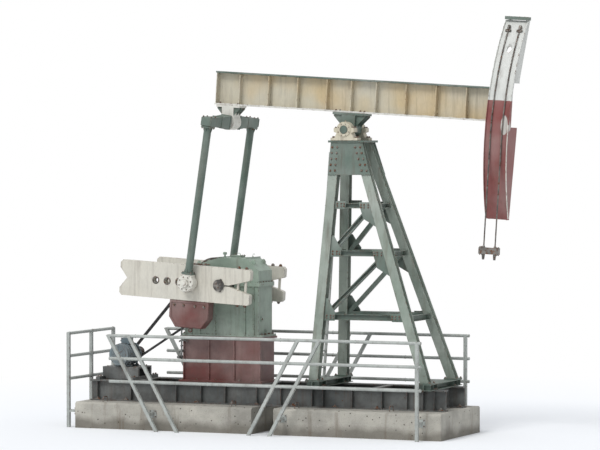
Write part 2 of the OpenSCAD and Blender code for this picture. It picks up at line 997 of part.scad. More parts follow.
// crank with a forked clamp end, a notched tip and spare holes for longer strokes
module crank_plate() {
    h = crank_w / 2;
    slab_xz(crank_in, crank_t)
        difference() {
            polygon([[-crank_tip + 150, 0], [-crank_tip + 20, 170], [-crank_tip, 190],
                [-crank_tip, h - 50], [-crank_tip + 50, h], [crank_hub - 40, h], [crank_hub, h - 40],
                [crank_hub, 150], [crank_hub - 20, 130], [crank_hub - 430, 12], [0, 12], [0, -12],
                [crank_hub - 430, -12], [crank_hub - 20, -130], [crank_hub, -150],
                [crank_hub, 40 - h], [crank_hub - 40, -h], [-crank_tip + 50, -h],
                [-crank_tip, 50 - h], [-crank_tip, -190], [-crank_tip + 20, -170]]);
            circle(r = shaft_r + seat);
            for (i = [1 : 3])
                translate([-pin_radius - i * 240, 0])
                    circle(r = 60);
        }
}

// crank with the two studs that draw its fork shut on the shaft
module crank() {
    union() {
        crank_plate();
        for (x = [crank_hub - 270, crank_hub - 110])
            translate([x, crank_in + crank_t / 2, -crank_w / 2 + 60])
                cylinder(r = 26, h = crank_w - 120);
    }
}

module crank_near() {
    color("ivory")
        at_crank()
            mirror([0, 1, 0])
                crank();
}

module crank_far() {
    color("ivory")
        at_crank()
            crank();
}

module counterweights() {
    color("brown")
        at_crank()
            both_sides()
                slab_xz(crank_in - 100, crank_t + 80)
                    polygon([[-1010, -crank_w / 2 - seat], [-190, -crank_w / 2 - seat],
                        [-190, -crank_w / 2 - 330], [-330, -crank_w / 2 - 520],
                        [-870, -crank_w / 2 - 520], [-1010, -crank_w / 2 - 330]]);
}

plinth(block_c, block_d);  // plinth_front
plinth(block_a, block_b);  // plinth_rear
skid_rail(-1);  // skid_rail_near
skid_rail(1);  // skid_rail_far
skid_cross_members();
post_sills();
post_rear_legs();
post_front_legs();
post_side_braces();
post_end_braces();
post_cap();
ladder();
saddle_bearings();
gearbox_pedestal();
gearbox_housing();
gearbox_cover();
input_shaft();
driven_sheave();
brake_drum();
brake_shoes();
brake_lever();
motor_base();
motor();
motor_sheave();
v_belts();
guard_near();
guard_far();
guard_rear();
walking_beam();
beam_saddle();
tail_bearing();
head_bracket();
horse_head();
head_cap();
bridle_ropes();
carrier_bar();
equalizer();
pitman_bar(-1);  // pitman_near
pitman_bar(1);  // pitman_far
pin_bearings();
crank_pins();
crankshaft();
crank_near();
crank_far();
counterweights();
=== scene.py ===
import json
from functools import partial
from math import atan2, cos, degrees, pi, radians, sin

import bpy
from mathutils import Euler, Matrix, Vector


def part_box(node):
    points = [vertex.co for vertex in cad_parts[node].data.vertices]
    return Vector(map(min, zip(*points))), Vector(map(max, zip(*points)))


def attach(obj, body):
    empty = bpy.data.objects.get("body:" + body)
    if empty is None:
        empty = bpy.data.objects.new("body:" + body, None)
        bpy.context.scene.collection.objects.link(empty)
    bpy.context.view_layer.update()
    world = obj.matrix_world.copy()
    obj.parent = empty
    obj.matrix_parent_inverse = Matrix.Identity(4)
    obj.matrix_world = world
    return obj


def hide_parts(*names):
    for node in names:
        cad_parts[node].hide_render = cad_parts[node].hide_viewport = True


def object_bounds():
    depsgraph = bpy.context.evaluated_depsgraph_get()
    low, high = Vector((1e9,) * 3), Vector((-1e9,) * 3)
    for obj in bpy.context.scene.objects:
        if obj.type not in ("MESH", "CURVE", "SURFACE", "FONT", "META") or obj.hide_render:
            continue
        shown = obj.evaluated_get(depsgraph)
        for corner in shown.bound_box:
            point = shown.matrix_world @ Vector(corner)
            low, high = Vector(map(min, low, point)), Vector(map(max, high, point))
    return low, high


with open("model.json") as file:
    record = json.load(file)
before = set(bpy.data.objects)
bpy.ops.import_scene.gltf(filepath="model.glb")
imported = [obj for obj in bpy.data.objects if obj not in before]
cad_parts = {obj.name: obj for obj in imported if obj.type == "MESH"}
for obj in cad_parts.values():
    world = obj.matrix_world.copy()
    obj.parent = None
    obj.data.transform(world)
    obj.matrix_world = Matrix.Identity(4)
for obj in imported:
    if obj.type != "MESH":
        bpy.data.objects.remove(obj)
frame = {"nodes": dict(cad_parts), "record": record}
cad_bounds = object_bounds()
bpy.context.scene.view_settings.view_transform = "Standard"

# Places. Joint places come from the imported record, and the rest follows from them and the nodes' boxes.
joints = {joint["name"]: joint for joint in frame["record"]["behaviour"]["joints"]}


def joint_place(name):
    """Where a joint's axis passes, in metres."""
    return Vector(joints[name]["pos_m"])


def frame_at(place, turn_y, turn_z=0):
    """A local frame at a place, turned about Z first and then about Y, in radians."""
    return Matrix.Translation(place) @ Matrix.Rotation(turn_y, 4, "Y") @ Matrix.Rotation(turn_z, 4, "Z")


def node_box(name):
    """Low and high corner of a CAD node."""
    low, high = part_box(name)
    return Vector(low), Vector(high)


def node_middle(name):
    low, high = node_box(name)
    return (low + high) / 2


hinge_axis = Vector(joints["head_swing"]["axis"])
PIVOT, TAIL, SHAFT = [joint_place(name) for name in ("beam_rock", "pitman_swing", "crank_turn")]
PIN = node_middle("crank_pins")
PITMAN_LENGTH = (TAIL - PIN).length
HEAD_X = (joint_place("head_swing") - PIVOT).length

BASE = Matrix.Identity(4)
BEAM = frame_at(PIVOT, atan2(hinge_axis.x, hinge_axis.z))
HEAD = BEAM @ frame_at(Vector((HEAD_X, 0, 0)), 0, -pi / 2)
PITMAN = frame_at(TAIL, atan2(TAIL.x - PIN.x, TAIL.z - PIN.z))
CRANK = frame_at(SHAFT, atan2(PIN.z - SHAFT.z, SHAFT.x - PIN.x))
BODY_FRAMES = {"base": BASE, "beam": BEAM, "head": HEAD, "pitmans": PITMAN, "cranks": CRANK}

# Colours and shaders


def colour(code):
    """Hex sRGB to the linear colour that a shader takes."""
    parts = [int(code[i:i + 2], 16) / 255 for i in (1, 3, 5)]
    linear = [c / 12.92 if c <= 0.04045 else ((c + 0.055) / 1.055) ** 2.4 for c in parts]
    return (*linear, 1)


def add_node(tree, kind, *values, out=0, **named):
    """Adds one shader node with its settings and links, and gives back one of its outputs.

    values fill its inputs in order, and None leaves one as it is. Of the named ones, those with a capital
    are inputs too and the others settings. A value is a number, a hex colour or another node's output.
    """
    node = tree.nodes.new("ShaderNode" + kind)
    inputs = {key: value for key, value in enumerate(values) if value is not None}
    for key, value in named.items():
        if key[0].isupper():
            inputs[key.replace("_", " ")] = value
        else:
            setattr(node, key, value)
    for key, value in inputs.items():
        if isinstance(value, bpy.types.NodeSocket):
            tree.links.new(value, node.inputs[key])
        else:
            node.inputs[key].default_value = colour(value) if isinstance(value, str) else value
    return node.outputs[out] if len(node.outputs) else None


def node_adder(owner):
    """Empties a material's or a world's node tree, and gives back add_node for that tree."""
    owner.use_nodes = True
    owner.node_tree.nodes.clear()
    return partial(add_node, owner.node_tree)


def new_material(name):
    """An empty material, what adds nodes to it, and the point in it that is being shaded."""
    material = bpy.data.materials.new(name)
    put = node_adder(material)
    return material, put, put("TexCoord", out="Object")


def surfaced(material, put, **look):
    """Gives the material its surface, from the inputs of the principled shader."""
    put("OutputMaterial", put("BsdfPrincipled", **look))
    return material


def coats(put, base, *layers):
    """Lays colours over the base one after another, each (amount, colour) where its amount is 1."""
    for amount, top in layers:
        # inputs 1 to 5 belong to the node's other data types
        base = put("Mix", amount, *[None] * 5, base, top, out=2, data_type="RGBA")
    return base


def patches(put, point, scale, detail, low, high, most=1, rough=0.5):
    """Where noise with features of 1 / scale metres is strong: 0 below low, most above high."""
    noise = put("TexNoise", point, Scale=scale, Detail=detail, Roughness=rough)
    return put("MapRange", noise, low, high, 0, most)


def drawn_out(put, point, across, down, rough=0.55):
    """Noise drawn out along the vertical: its features are 1 / across wide and 1 / down tall, in metres."""
    squeezed = put("VectorMath", point, (across, across, down), operation="MULTIPLY")
    return put("TexNoise", squeezed, Scale=1, Detail=5, Roughness=rough)


def worn_edges(put):
    """1 along outer edges, 0 on flat faces: where weather and tools take the paint off first."""
    soft = put("Bevel", Radius=0.014, samples=4)
    flat = put("NewGeometry", out="Normal")
    same = put("VectorMath", soft, flat, out="Value", operation="DOT_PRODUCT")
    return put("MapRange", same, 0.995, 0.9)


def enamel(name, codes, chips, streaks, grime, zones=(), place=None, repair=None):
    """Alkyd enamel brushed on steel, years outdoors: half gloss gone chalky, with rust where it has chipped.

    The eye sees brush marks 70 mm long, rain streaks 90 mm wide and 1 m long, flakes of 10 to 60 mm that
    start at the edges, and oily dust low down. chips, streaks and grime run from 0 to 1. codes are one hex
    colour, or two that change over in patches of 1 m. zones are (height, codes) pairs, other paint from
    that height of place on, and repair the middle, half size and colour of a daub of other paint.
    """
    material, put, world = new_material(name)
    local = world
    if place is not None:
        local = put("Mapping", world, place.to_translation(), place.to_euler(), vector_type="TEXTURE")
    recoated = patches(put, world, 0.9, 2, 0.44, 0.6)

    def paint(codes):
        first, *second = codes.split()
        return coats(put, first, *[(recoated, code) for code in second])

    # the line between two colours wanders by some 10 mm over 110 mm, as a brush leaves it
    hand = put("TexNoise", world, Scale=9, Detail=2)
    line = put("Math", hand, 0.03, put("SeparateXYZ", local, out="Z"), operation="MULTIPLY_ADD")
    base = paint(codes)
    for start, upper in zones:
        base = coats(put, base, (put("MapRange", line, start + 0.011, start + 0.019), paint(upper)))
    if repair:
        middle, half, code = repair
        ellipse = put("Mapping", local, middle, Scale=half, vector_type="TEXTURE")
        away = put("VectorMath", ellipse, out="Value", operation="LENGTH")
        ragged = put("Math", hand, 0.5, away, operation="MULTIPLY_ADD")
        base = coats(put, base, (put("MapRange", ragged, 1.27, 1.17, 0, 0.85), code))
    # patches of 0.8 m that the sun has bleached
    bleached = 0.28
    chalk = patches(put, world, 1.3, 5, 0.35, 0.75, bleached)
    # brush marks, drawn coarser than bristles so that they show
    marks = drawn_out(put, world, 60, 14)
    brushed = put("MapRange", marks, 0.3, 0.7, 0, 0.12)
    # rain streaks, browner than the paint
    runs = put("MapRange", drawn_out(put, world, 11, 0.7, 0.6), 0.52, 0.74, 0, 0.75 * streaks)
    # oily dust in blots of 250 mm, thick up to 3 m above the ground
    ground = put("SeparateXYZ", world, out="Z")
    low = put("MapRange", ground, 0, 3.2, 0.8 * grime, 0.2 * grime)
    dirt = put("Math", low, patches(put, world, 4, 6, 0.42, 0.72, rough=0.65), operation="MULTIPLY")
    # flakes off down to the rust
    flakes = put("TexNoise", world, Scale=16, Detail=7, Roughness=0.62)
    eaten = put("Math", worn_edges(put), 0.17, flakes, operation="MULTIPLY_ADD")
    bare = 0.74 - 0.1 * chips
    chip = put("MapRange", eaten, bare, bare + 0.03)
    rust = coats(put, "#402417", (put("TexNoise", world, Scale=40, Detail=4), "#794a2c"))
    base = coats(put, base, (chalk, "#cfcec8"), (brushed, "#3f3f3c"), (runs, "#523c2a"), (dirt, "#38342f"),
                 (chip, rust))
    rough = put("MapRange", chalk, 0, bleached, 0.45, 0.67)
    rusty = put("Math", chip, 0.92, operation="MULTIPLY")
    rough = put("Math", rough, rusty, operation="MAXIMUM")
    relief = put("Math", marks, 0.25, operation="MULTIPLY")
    relief = put("Math", relief, chip, operation="SUBTRACT")
    skin = put("Bump", Height=relief, Strength=0.35, Distance=0.0015)
    return surfaced(material, put, Base_Color=base, Roughness=rough, IOR=1.5, Normal=skin)


def concrete(name):
    """Cast concrete: pale matt cement with sand of a few mm, board ridges, damp feet and rusty runs."""
    material, put, world = new_material(name)
    tone = patches(put, world, 1.6, 6, 0.3, 0.7, rough=0.6)
    # sand grains drawn at 11 mm, coarser than real, so that they show
    grit = put("TexNoise", world, Scale=90, Detail=2)
    grains = put("MapRange", grit, 0.55, 0.75, 0, 0.5)
    # air holes against the form, 15 to 30 mm across, dented in and painted dark for the shade inside them
    bubbles = put("TexVoronoi", world, Scale=9, out="Distance")
    hole_and_painted_shade = put("MapRange", bubbles, 0.13, 0.1)
    # the lowest 150 mm are damp
    height = put("SeparateXYZ", world, out="Z")
    uneven = put("TexNoise", world, Scale=2.2, Detail=4)
    edge = put("Math", uneven, -0.3, height, operation="MULTIPLY_ADD")
    damp = put("MapRange", edge, 0.1, -0.05, 0, 0.6)
    # rusty water has run down from the steel, 140 mm wide and over 1 m long
    runs = put("MapRange", drawn_out(put, world, 7, 0.8), 0.55, 0.72, 0, 0.5)
    base = coats(put, "#8f8c84", (tone, "#bdb9ae"), (grains, "#6d675c"), (hole_and_painted_shade, "#4f4a42"), (damp, "#4c463b"),
                 (runs, "#5b4a38"))
    # boards of the form, 150 mm high, leave faint ridges
    boards = put("TexWave", world, Scale=1.05, Distortion=0.6, Detail=2, out="Fac", bands_direction="Z",
                 wave_profile="SAW")
    ridge = put("MapRange", boards, 0.9)
    relief = put("Math", grit, 0.35, ridge, operation="MULTIPLY_ADD")
    relief = put("Math", relief, hole_and_painted_shade, operation="SUBTRACT")
    skin = put("Bump", Height=relief, Strength=0.7, Distance=0.004)
    return surfaced(material, put, Base_Color=base, Roughness=0.9, IOR=1.5, Normal=skin)


def bare_metal(name, code, rough, rust, grease, lay=0):
    """Machined, cast or rolled steel without paint: dull, freckled with rust, black where grease holds dust.

    lay is the width in metres of the twisted wires of a rope, 0 for plain metal.
    """
    material, put, world = new_material(name)
    tone = put("TexNoise", world, Scale=3, Detail=4)
    # freckles of 10 to 40 mm
    start = 0.62 - 0.2 * rust
    freckles = patches(put, world, 24, 6, start, start + 0.08, rough=0.65)
    # greasy dirt in blots of 140 mm
    start = 0.6 - 0.3 * grease
    black = patches(put, world, 7, 4, start, start + 0.15, grease)
    base = coats(put, code, (tone, "#95938f"), (freckles, "#684026"), (black, "#1c1b19"))
    cover = put("Math", freckles, black, operation="MAXIMUM")
    metal = put("Math", 1, cover, operation="SUBTRACT")
    matt = put("Math", freckles, 0.85, operation="MULTIPLY")
    matt = put("Math", matt, rough, operation="MAXIMUM")
    relief = freckles
    if lay:
        relief = put("TexWave", world, Scale=0.16 / lay, Distortion=0, out="Fac", bands_direction="DIAGONAL")
    skin = put("Bump", Height=relief, Strength=0.4, Distance=0.001)
    return surfaced(material, put, Base_Color=base, Metallic=metal, Roughness=matt, Normal=skin)


def rubber(name):
    """Vulcanised belt rubber: near black, matt, dusted grey, cracked every 12 mm or so."""
    material, put, world = new_material(name)
    dusty = put("TexNoise", world, Scale=12, Detail=5)
    cracks = put("TexVoronoi", world, Scale=80, out="Distance", feature="DISTANCE_TO_EDGE")
    skin = put("Bump", Height=cracks, Strength=0.3, Distance=0.001)
    matt = put("MapRange", dusty, 0, 1, 0.6, 0.85)
    base = coats(put, "#16161a", (dusty, "#34322f"))
    return surfaced(material, put, Base_Color=base, Roughness=matt, IOR=1.52, Normal=skin)


def oil_glass(name):
    """Sight glass with dark oil behind it: smooth, amber and brown in cloudy patches."""
    material, put, world = new_material(name)
    cloudy = put("TexNoise", world, Scale=30, Detail=3)
    base = coats(put, "#3a2208", (cloudy, "#6b4716"))
    return surfaced(material, put, Base_Color=base, Roughness=0.08, IOR=1.5)


# heights in the beam's frame, and how far the flanges' paint laps onto the web
BEAM_LOW, BEAM_HIGH, LAP = 0.32, 0.96, 0.034
concrete_cast = concrete("cast_concrete")
# enamels: name, paint, chips, streaks, grime
post_enamel = enamel("post_enamel_green", "#52655a", 0.45, 0.5, 0.7)
# the legs get a paler green than the rest of the post: partly weathered paint, partly a painted highlight of the
# light that falls on them
leg_enamel_and_highlight = enamel("pale_green_leg_enamel_and_highlight", "#8e998d #7b887c", 0.5, 0.6, 0.7)
skid_enamel = enamel("skid_enamel_dark_grey", "#434848", 0.6, 0.6, 1)
rail_enamel = enamel("rail_enamel_light_grey", "#a9aea9", 0.45, 0.45, 0.5)
beam_enamel = enamel("beam_enamel_green_cream_white", "#dcdad2", 0.3, 0.55, 0.2, place=BEAM,
                     zones=((BEAM_LOW + LAP, "#c4bca5 #c5b18a"), (BEAM_HIGH - LAP, "#4c6156")))
head_enamel = enamel("head_enamel_red_white", "#7a2f2a", 0.35, 0.5, 0.2, place=HEAD, zones=((0.72, "#d0d1cb"),),
                     repair=((0.44, 0.14, 0.27), (0.3, 0.07, 0.18), "#c9c8c0"))
crank_enamel = enamel("crank_enamel_off_white", "#d2cdbf", 0.3, 0.45, 0.35)
maroon_enamel = enamel("maroon_enamel", "#6a3530", 0.4, 0.4, 0.7)
gearbox_enamel = enamel("gearbox_enamel_grey_green", "#93a595", 0.35, 0.5, 0.8)
motor_enamel = enamel("motor_enamel_grey_blue", "#5d7078", 0.3, 0.3, 0.8)
white_enamel = enamel("bearing_enamel_white", "#dedbd0", 0.3, 0.5, 0.4)
cream_enamel = enamel("bearing_enamel_cream", "#cbc3ac", 0.3, 0.5, 0.4)
# metals: name, colour, roughness, rust, grease
cast_iron = bare_metal("cast_iron_oiled", "#4a4846", 0.55, 0.6, 0.5)
bolt_steel = bare_metal("bolt_steel_rusty", "#77726a", 0.5, 0.75, 0.1)
shaft_steel = bare_metal("shaft_steel_greased", "#8b8781", 0.35, 0.2, 0.8)
rope_steel = bare_metal("rope_steel_greased", "#6e6a64", 0.45, 0.5, 0.5, lay=0.006)
belt_rubber = rubber("belt_rubber")
sight_glass = oil_glass("oil_sight_glass")

# The record's slot for each material, and the CAD nodes that wear it
SLOTS_AND_NODES = {
    concrete_cast: ("concrete", "plinth_front plinth_rear"),
    skid_enamel: ("frame_paint", "skid_rail_near skid_rail_far skid_cross_members motor_base brake_lever"),
    post_enamel: ("post_paint", "post_sills post_side_braces post_end_braces post_cap beam_saddle head_bracket "
                                "head_cap equalizer pitman_near pitman_far"),
    leg_enamel_and_highlight: ("leg_paint", "post_rear_legs post_front_legs"),
    rail_enamel: ("rail_paint", "ladder guard_near guard_far guard_rear"),
    beam_enamel: ("cream_paint", "walking_beam"),
    cream_enamel: ("cream_paint", "saddle_bearings"),
    white_enamel: ("white_paint", "tail_bearing pin_bearings"),
    maroon_enamel: ("maroon_paint", "gearbox_pedestal brake_shoes counterweights"),
    gearbox_enamel: ("gearbox_paint", "gearbox_housing gearbox_cover"),
    sight_glass: ("gearbox_paint", ""),
    motor_enamel: ("motor_paint", "motor"),
    head_enamel: ("head_paint", "horse_head"),
    crank_enamel: ("crank_paint", "crank_near crank_far"),
    cast_iron: ("cast_iron", "driven_sheave brake_drum motor_sheave"),
    bolt_steel: ("bare_steel", ""),
    shaft_steel: ("bare_steel", "input_shaft crank_pins crankshaft"),
    rope_steel: ("bare_steel", "bridle_ropes carrier_bar"),
    belt_rubber: ("belt_rubber", "v_belts"),
}
for material, (_, names) in SLOTS_AND_NODES.items():
    for name in names.split():
        piece = frame["nodes"][name]
        if not piece.material_slots:
            piece.data.materials.append(material)
        for material_slot in piece.material_slots:
            material_slot.material = material

# Modelling tools

UP, DOWN = (0, 0, 1), (0, 0, -1)
BOTH = (-1, 1)


def pair(middle, half):
    """Two coordinates, so far to either side of a middle."""
    return middle - half, middle + half


def each(value):
    """One number or several, as a sequence."""
    return value if isinstance(value, (tuple, list)) else (value,)


def only(obj):
    """Makes obj the one selected and active object."""
    bpy.ops.object.select_all(action="DESELECT")
    obj.select_set(True)
    bpy.context.view_layer.objects.active = obj


def settle(obj):
    """Writes place, turn and scale into the mesh."""
    only(obj)
    bpy.ops.object.transform_apply(location=True, rotation=True, scale=True)
    return obj


def moved(obj, place):
    """Seats something made in local coordinates at its frame."""
    obj.matrix_world = place @ obj.matrix_world
    return settle(obj)


def facing(place, direction):
    """A frame at a place with its Z along a direction."""
    return Matrix.Translation(Vector(place)) @ Vector(direction).to_track_quat("Z", "Y").to_matrix().to_4x4()


def added(operator, **settings):
    """The object that an operator adds, with nothing else selected."""
    bpy.ops.object.select_all(action="DESELECT")
    operator(**settings)
    return bpy.context.object


def soften(obj, width, segments=2):
    """Rounds the edges a little."""
    only(obj)
    modifier = obj.modifiers.new("edges", "BEVEL")
    modifier.width = width
    modifier.segments = segments
    modifier.limit_method = "ANGLE"
    modifier.angle_limit = radians(40)
    bpy.ops.object.modifier_apply(modifier=modifier.name)
    return obj


def outline_mesh(points, fill):
    """A flat loop through points, ready in edit mode with all of it selected."""
    obj = added(bpy.ops.mesh.primitive_circle_add, vertices=len(points), radius=1, fill_type=fill)
    for vertex, point in zip(obj.data.vertices, points):
        vertex.co = point
    bpy.ops.object.mode_set(mode="EDIT")
    bpy.ops.mesh.select_all(action="SELECT")
    return obj


def closed_shell():
    """Merges doubles, turns the faces outwards and leaves edit mode."""
    bpy.ops.mesh.select_all(action="SELECT")
    bpy.ops.mesh.remove_doubles(threshold=1e-5)
    bpy.ops.mesh.normals_make_consistent(inside=False)
    bpy.ops.object.mode_set(mode="OBJECT")


def plate(outline, start, thickness, edge=0.003, border=0):
    """Plate cut to an outline in the XZ plane, from start on along Y; open inside if only its border is left."""
    obj = outline_mesh([(x, start, z) for x, z in outline], "NGON")
    if border:
        bpy.ops.mesh.inset(thickness=border, depth=0)
        bpy.ops.mesh.delete(type="FACE")
        bpy.ops.mesh.select_all(action="SELECT")
    bpy.ops.mesh.extrude_region_move(TRANSFORM_OT_translate={"value": (0, thickness, 0)})
    closed_shell()
    return soften(obj, edge) if edge else obj


def turned(section, place=(0, 0, 0), along=UP, sides=32):
    """Lathe work: a closed section of (radius, height) points spun about the axis."""
    obj = outline_mesh([(radius, 0, height) for radius, height in section], "NOTHING")
    bpy.ops.mesh.spin(steps=sides, angle=2 * pi, center=(0, 0, 0), axis=UP)
    closed_shell()
    return moved(obj, facing(place, along))


def mm(points):
    """Points of a section, an outline or a bent bar, from coordinates written in millimetres."""
    return [tuple(float(number) / 1000 for number in point.split()) for point in points.split(",")]


def bar(start, end, radius, sides=16, edge=0.002):
    """Round bar with broken edges between two points."""
    start, end = Vector(start), Vector(end)
    length = (end - start).length
    section = [(0, 0), (radius - edge, 0), (radius, edge), (radius, length - edge), (radius - edge, length),
               (0, length)]
    return turned(section, start, end - start, sides)


def block(xs, ys, zs, edge=0.004):
    """Box between two coordinates on each axis, in either order, its edges rounded."""
    start, end = [Vector(corner) for corner in zip(xs, ys, zs)]
    obj = added(bpy.ops.mesh.primitive_cube_add, size=1, location=(start + end) / 2)
    obj.scale = [abs(length) for length in end - start]
    return soften(settle(obj), edge)


def ring(place, along, radius, thickness, sides=32, small_sides=8):
    """Ring of round bar."""
    obj = added(bpy.ops.mesh.primitive_torus_add, major_radius=radius, minor_radius=thickness,
                major_segments=sides, minor_segments=small_sides)
    return moved(obj, facing(place, along))


def tube(points, radius, sides=8):
    """Bent round bar or pipe through points."""
    data = bpy.data.curves.new("tube", "CURVE")
    data.dimensions = "3D"
    data.bevel_depth = radius
    data.bevel_resolution = sides // 2 - 2
    data.use_fill_caps = True
    spline = data.splines.new("POLY")
    spline.points.add(len(points) - 1)
    for spot, point in zip(spline.points, points):
        spot.co = (*point, 1)
    obj = bpy.data.objects.new("tube", data)
    bpy.context.collection.objects.link(obj)
    only(obj)
    bpy.ops.object.convert(target="MESH")
    obj = bpy.context.object
    bpy.ops.object.mode_set(mode="EDIT")
    closed_shell()
    return obj


def copy_at(obj, place):
    """A copy with its own mesh, set at a place."""
    twin = obj.copy()
    twin.data = obj.data.copy()
    bpy.context.collection.objects.link(twin)
    twin.matrix_world = place
    return twin


def repeated(obj, places):
    """Copies of one shape at each place, instead of the shape itself."""
    twins = [copy_at(obj, place) for place in places]
    bpy.data.objects.remove(obj)
    return twins


def shifts(points):
    """Places for copies that are only shifted."""
    return [Matrix.Translation(Vector(point)) for point in points]


def join(objects):
    """One object made of several, with its place written into the mesh."""
    bpy.ops.object.select_all(action="DESELECT")
    for obj in objects:
        obj.select_set(True)
    bpy.context.view_layer.objects.active = objects[0]
    if len(objects) > 1:
        bpy.ops.object.join()
    return settle(bpy.context.object)


def finish_piece(name, objects, material=bolt_steel, body="base", replaces=()):
    """Joins the parts of one piece, seats it in its body's frame, and gives it its look and its body."""
    obj = moved(join(objects), BODY_FRAMES[body])
    obj.name = name
    obj.data.name = name
    obj.data.materials.clear()
    obj.data.materials.append(material)
    only(obj)
    bpy.ops.object.shade_smooth_by_angle(angle=radians(35))
    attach(obj, body)
    if replaces:
        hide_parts(*replaces)


def make_bolt(size):
    """Hexagon nut on a washer with the stud standing out of it, along +Z from Z = 0."""
    thick = 0.16 * size
    washer = turned([(0, 0), (1.15 * size, 0), (1.15 * size, thick), (0, thick)], sides=20)
    nut = added(bpy.ops.mesh.primitive_cylinder_add, vertices=6, radius=0.92 * size, depth=0.8 * size,
                location=(0, 0, thick + 0.4 * size))
    nut = soften(settle(nut), 0.07 * size, 1)
    stud = bar((0, 0, 0.9 * size), (0, 0, 1.3 * size), 0.5 * size, 10, 0.06 * size)
    return join([washer, nut, stud])


bolt_masters = {}


def bolts(size, places, local=BASE):
    """Bolts at (point, direction) pairs in a local frame, each turned its own way. size is the thread in metres."""
    if size not in bolt_masters:
        bolt_masters[size] = make_bolt(size)
    return [copy_at(bolt_masters[size], local @ facing(point, direction) @ Matrix.Rotation(0.61 * index, 4, "Z"))
            for index, (point, direction) in enumerate(places)]


def bolt_rows(size, xs, ys, zs, direction=UP, local=BASE):
    """Bolts at every crossing of the given coordinates, each one number or several."""
    return bolts(size, [((x, y, z), direction) for x in each(xs) for y in each(ys) for z in each(zs)], local)


def bolt_circle(size, centre, along_y, lift, radius, count, start):
    """Bolts on a circle round an axis along Y, so far above the face that the centre lies on."""
    places = []
    for i in range(count):
        a = start + 2 * pi * i / count
        offset = Vector((radius * cos(a), along_y * lift, radius * sin(a)))
        places.append((Vector(centre) + offset, (0, along_y, 0)))
    return bolts(size, places)


# Foundation and skid

SKID_Y = 0.5
SKID_FOOT, SKID_TOP = 0.5, 0.9
FLANGE = 0.024
FLANGE_TOP = SKID_FOOT + FLANGE
CLAMP = 0.016
anchor_x = (-5.05, -4.45, -3.7, -2.95, -2.2, -1.7, -0.95, -0.1, 0.75, 1.55, 2.02)
anchors = [(x, y, FLANGE_TOP) for x in anchor_x for side in BOTH for y in pair(side * SKID_Y, 0.07)]
clamps = repeated(block(pair(0, 0.045), pair(0, 0.026), (0, CLAMP)), shifts(anchors))
clamp_tops = [((x, y, z + CLAMP), UP) for x, y, z in anchors]
finish_piece("skid_anchor_bolts", clamps + bolts(0.024, clamp_tops))

# web stiffeners where the post, the gearbox and the motor stand on the rails
loaded_x = (-5.06, -4.34, -3.38, -2.86, -2.35, -1.7, -1.2, -0.56, -0.34, 0.25, 0.85, 1.35, 1.67, 1.89)
web, reach, low_z, high_z = 0.0085, 0.092, FLANGE_TOP, SKID_TOP - FLANGE
corner = 0.025
rib = plate([(web + corner, low_z), (reach, low_z), (reach, high_z), (web + corner, high_z),
             (web, high_z - corner), (web, low_z + corner)], -0.005, 0.01, edge=0.002)
rib_places = [frame_at((x, side * SKID_Y, 0), 0, side * pi / 2) for x in loaded_x for side in BOTH]
finish_piece("skid_web_stiffeners", repeated(rib, rib_places), skid_enamel)

# lifting loops of bent bar cast into the concrete, two at each end of each block
loop = mm("0 -100 -30, 0 -100 50, 0 -85 85, 0 -50 105, 0 50 105, 0 85 85, 0 100 50, 0 100 -30")
loop_places = shifts([(x, y, SKID_FOOT) for x in (-4.75, -2.05, -0.75, 1.15) for y in (-0.86, 0.86)])
finish_piece("concrete_lifting_loops", repeated(tube(loop, 0.009), loop_places))

# Post

LEG_FOOT_Y, LEG_TOP_Y = 0.72, 0.23
SILL_TOP, LEG_TOP, CAP_TOP = 1.02, 5.48, 5.52
LEG_LEAN = atan2(LEG_FOOT_Y - LEG_TOP_Y, LEG_TOP - SILL_TOP)
LEG_RUN = (LEG_TOP - SILL_TOP) / cos(LEG_LEAN)
REAR_FOOT, REAR_HEAD, FRONT_FOOT, FRONT_HEAD = -0.45, -0.19, 1.78, 0.23


def rear_x(up):
    """Middle of the rear leg, so far up the leaning side of the post."""
    return REAR_FOOT + (REAR_HEAD - REAR_FOOT) * up / LEG_RUN


def front_x(up):
    return FRONT_FOOT + (FRONT_HEAD - FRONT_FOOT) * up / LEG_RUN


def side_frame(side):
    """The leaning side of the post: X along it, Z up it, and side times Y outwards."""
    return Matrix.Translation((0, side * LEG_FOOT_Y, SILL_TOP)) @ Matrix.Rotation(side * LEG_LEAN, 4, "X")


def beside(leg_x, way, up, out):
    """X of a point so far out from a leg, on the side where the bracing is."""
    return leg_x(up) + way * (0.012 + out)


# gussets join the braces to the legs: (foot, height) of each
GUSSETS = ((rear_x, 1, ((1.13, 0.42), (2.33, 0.4), (3.23, 0.15))),
           (front_x, -1, ((1.13, 0.16), (1.98, 0.49), (2.9, 0.46))))
GUSSET_IN, GUSSET_OUT, WIDE, SHOULDER = 0.041, 0.051, 0.3, 0.15
gussets, post_bolts = [], []
for side in BOTH:
    for leg_x, way, rises in GUSSETS:
        for foot, tall in rises:
            low_and_wide = way > 0 or tall < 0.2
            # of each corner: the height at which the leg's edge is taken, how far out, and its own height
            corners = ((0, 0, 0), (0, WIDE if low_and_wide else 0.09, 0), (SHOULDER, WIDE, SHOULDER),
                       (tall - SHOULDER, 0.22 if low_and_wide else WIDE, max(tall - SHOULDER, SHOULDER)),
                       (tall, 0.12 if low_and_wide else WIDE, tall), (tall, 0, tall))
            outline = [(beside(leg_x, way, foot + at, out), foot + up) for at, out, up in corners]
            made = plate(outline, min(side * GUSSET_IN, side * GUSSET_OUT), GUSSET_OUT - GUSSET_IN)
            gussets.append(moved(made, side_frame(side)))
            level = foot + 0.075 if low_and_wide else foot + tall - 0.075
            spread = [beside(leg_x, way, level, out) for out in (0.13, 0.21, 0.27)]
            post_bolts += bolt_rows(0.016, spread, side * GUSSET_OUT, pair(level, 0.025), (0, side, 0),
                                    side_frame(side))
finish_piece("post_gusset_plates", gussets, post_enamel)

